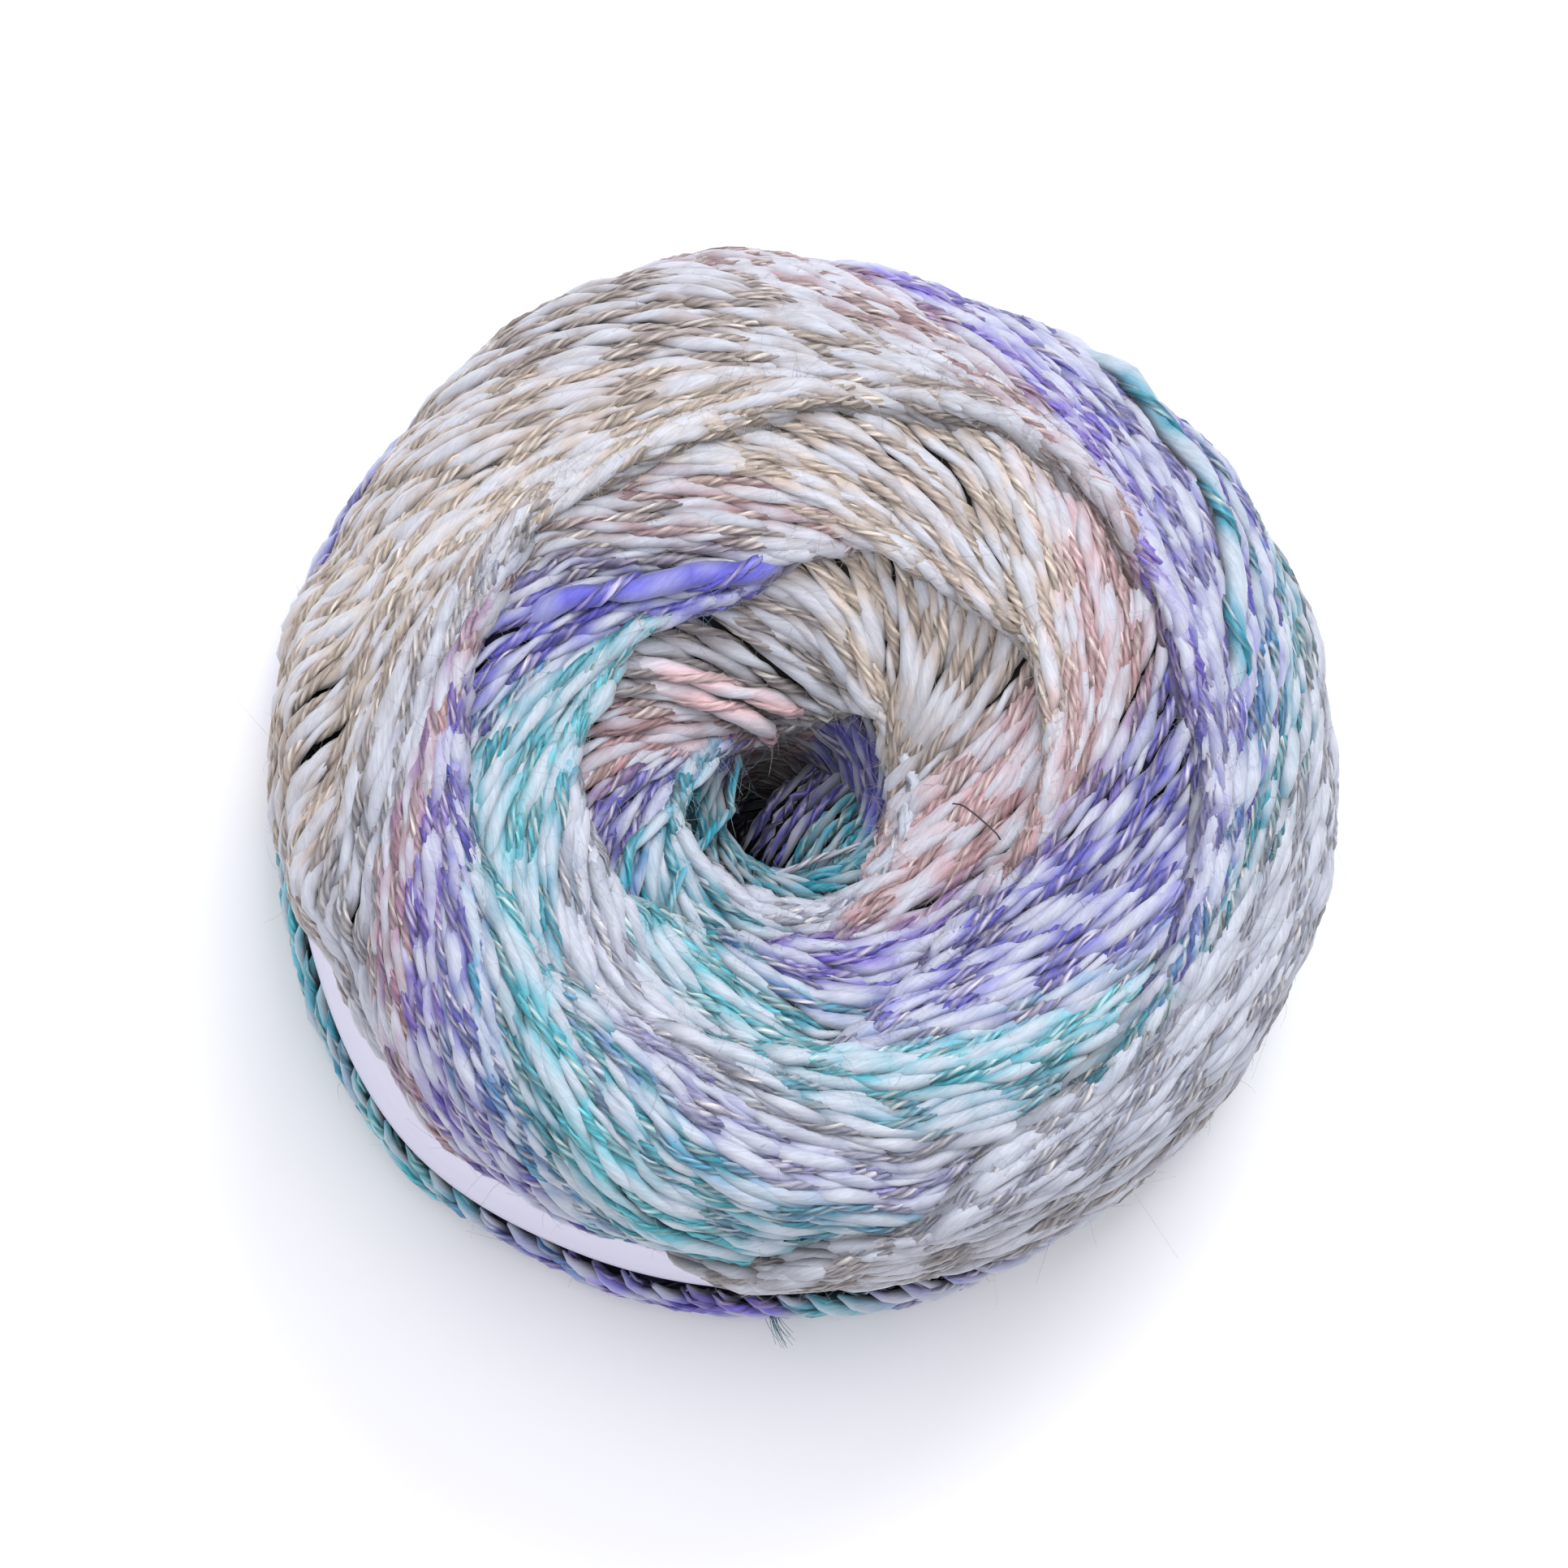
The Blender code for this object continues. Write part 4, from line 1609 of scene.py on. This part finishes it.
@dataclass
class PaperBand:
    """The plain paper sleeve round the waist, with a glued lap at the back."""

    form: CakeForm
    low: float = 18.0
    high: float = 55.0
    reach: float = 62.4
    paper: float = 0.28
    lap_from: float = 62.0  # degrees round the cake, on the side away from the front
    lap_degrees: float = 16.0

    def build(self) -> None:
        """Wraps a strip of paper round the waist."""
        bpy.ops.object.select_all(action="DESELECT")
        bpy.ops.mesh.primitive_grid_add(x_subdivisions=240, y_subdivisions=10, size=1.0)
        strip = bpy.context.object
        strip.name = "paper_sleeve"
        strip.data.name = "paper_sleeve"
        mesh = strip.data
        flat = np.empty(len(mesh.vertices) * 3)
        mesh.vertices.foreach_get("co", flat)
        flat = flat.reshape(-1, 3)
        turn = (flat[:, 0] + 0.5) * (360.0 + self.lap_degrees)
        height = flat[:, 1] + 0.5
        degrees = self.lap_from + turn
        over = smooth_step(turn, 352.0, 361.0) * (self.paper + 0.08)
        under_shoulder = 0.25 * np.cos(np.radians(2.0 * degrees + 70.0)) * height
        waver = 0.12 * np.sin(np.radians(degrees * 3.0 + 40.0)) * (height - 0.5)
        level = self.low + (self.high - self.low) * height
        level = level + 0.22 * np.sin(np.radians(degrees * 2.0)) * (2.0 * height - 1.0)
        angle = np.radians(degrees)
        uneven = self.form.outline.read(1, np.mod(degrees, 360.0)) - self.form.side_reach
        reach = self.reach + over + uneven + 0.3 * under_shoulder + waver
        wrapped = np.stack(
            (
                self.form.mouth[0] + reach * np.cos(angle),
                self.form.mouth[1] + reach * np.sin(angle),
                level,
            ),
            axis=-1,
        )
        mesh.vertices.foreach_set("co", (wrapped * MM).reshape(-1))
        bpy.ops.object.mode_set(mode="EDIT")
        bpy.ops.mesh.select_all(action="SELECT")
        bpy.ops.mesh.normals_make_consistent(inside=False)
        bpy.ops.object.mode_set(mode="OBJECT")
        mesh.shade_smooth()
        wall = strip.modifiers.new("Paper", "SOLIDIFY")
        wall.thickness = self.paper * MM
        wall.offset = 0.0
        bpy.ops.object.modifier_apply(modifier="Paper")
        strip.data.materials.append(BandPaper().build())
        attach(strip, "root")
        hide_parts("paper_band")
        LOG.info("paper_sleeve: %d faces", len(strip.data.polygons))


@dataclass
class Studio:
    """The pale floor, the soft lights and the camera at the photograph's viewing angle."""

    form: CakeForm
    image_size: int = 1932
    pixels_per_mm: float = 10.1
    mouth_pixel: tuple[float, float] = (985.0, 975.0)
    mouth_height: float = 60.0
    tilt: float = math.radians(7.0)
    tilt_towards: float = math.radians(231.0)
    distance: float = 3.0

    def build(self) -> None:
        """Sets up the whole studio."""
        self._floor()
        self._lights()
        self._camera()
        bpy.context.scene.view_settings.view_transform = "Standard"

    def _floor(self) -> None:
        """A wide pale floor."""
        bpy.ops.object.select_all(action="DESELECT")
        bpy.ops.mesh.primitive_plane_add(size=6.0, location=(0.0, 0.0, 0.0))
        floor = bpy.context.object
        floor.name = "studio_floor"
        material, shader = new_material("matt_studio_board")
        place = add_node(material, "ShaderNodeTexCoord")
        grain = add_node(
            material, "ShaderNodeTexNoise", None,
            {"Vector": place.outputs["Object"], "Scale": 300.0, "Detail": 2.0},
        )
        board = linear("#F4F4F7")
        tone = add_node(
            material, "ShaderNodeMix", {"data_type": "RGBA"},
            {"Factor": grain.outputs["Fac"], "A": (*(board * 0.99), 1.0), "B": (*board, 1.0)},
        )
        material.node_tree.links.new(tone.outputs["Result"], shader.inputs["Base Color"])
        shader.inputs["Roughness"].default_value = 0.8
        shader.inputs["Specular IOR Level"].default_value = 0.2
        floor.data.materials.append(material)

    def _lights(self) -> None:
        """A soft key light from the upper right, one overhead and an even surround."""
        world = bpy.data.worlds.new("studio_surround")
        world.use_nodes = True
        surround = world.node_tree.nodes["Background"]
        surround.inputs["Color"].default_value = (*linear("#F7F7FA"), 1.0)
        surround.inputs["Strength"].default_value = 0.82
        bpy.context.scene.world = world
        for name, place, size, power in (
            ("key_light", (0.25, 0.75, 1.1), 0.8, 11.5),
            ("top_light", (-0.2, 0.05, 1.5), 1.0, 9.0),
        ):
            bpy.ops.object.light_add(type="AREA", location=place)
            light = bpy.context.object
            light.name = name
            light.data.shape = "DISK"
            light.data.size = size
            light.data.energy = power
            aim = Vector((0.0, 0.0, 0.04)) - Vector(place)
            light.rotation_euler = aim.to_track_quat("-Z", "Y").to_euler()

    def _camera(self) -> None:
        """A long lens nearly overhead, leaning to the lower left."""
        lean = math.sin(self.tilt)
        towards_camera = Vector(
            (
                lean * math.cos(self.tilt_towards),
                lean * math.sin(self.tilt_towards),
                math.cos(self.tilt),
            )
        )
        right = Vector((0.0, 1.0, 0.0)).cross(towards_camera).normalized()
        up = towards_camera.cross(right)
        middle = self.image_size / 2.0
        off_right = (self.mouth_pixel[0] - middle) / self.pixels_per_mm
        off_up = (middle - self.mouth_pixel[1]) / self.pixels_per_mm
        mouth = Vector((self.form.mouth[0], self.form.mouth[1], self.mouth_height))
        target = (mouth - right * off_right - up * off_up) * MM
        bpy.ops.object.camera_add(location=target + towards_camera * self.distance)
        camera = bpy.context.object
        camera.name = "photo_camera"
        turn = Matrix((right, up, towards_camera)).transposed()
        camera.rotation_euler = turn.to_euler()
        width = self.image_size / self.pixels_per_mm * MM
        camera.data.sensor_width = 36.0
        camera.data.lens = 36.0 * self.distance / width
        camera.data.clip_end = 20.0
        bpy.context.scene.camera = camera


def main() -> None:
    """Builds the studio, the yarn and the band, in that order."""
    logging.basicConfig(level=logging.INFO, format="%(name)s: %(message)s")
    form = CakeForm()
    Studio(form).build()
    WoundYarn(form, DyeChart()).build()
    PaperBand(form).build()


if __name__ == "__main__":
    main()
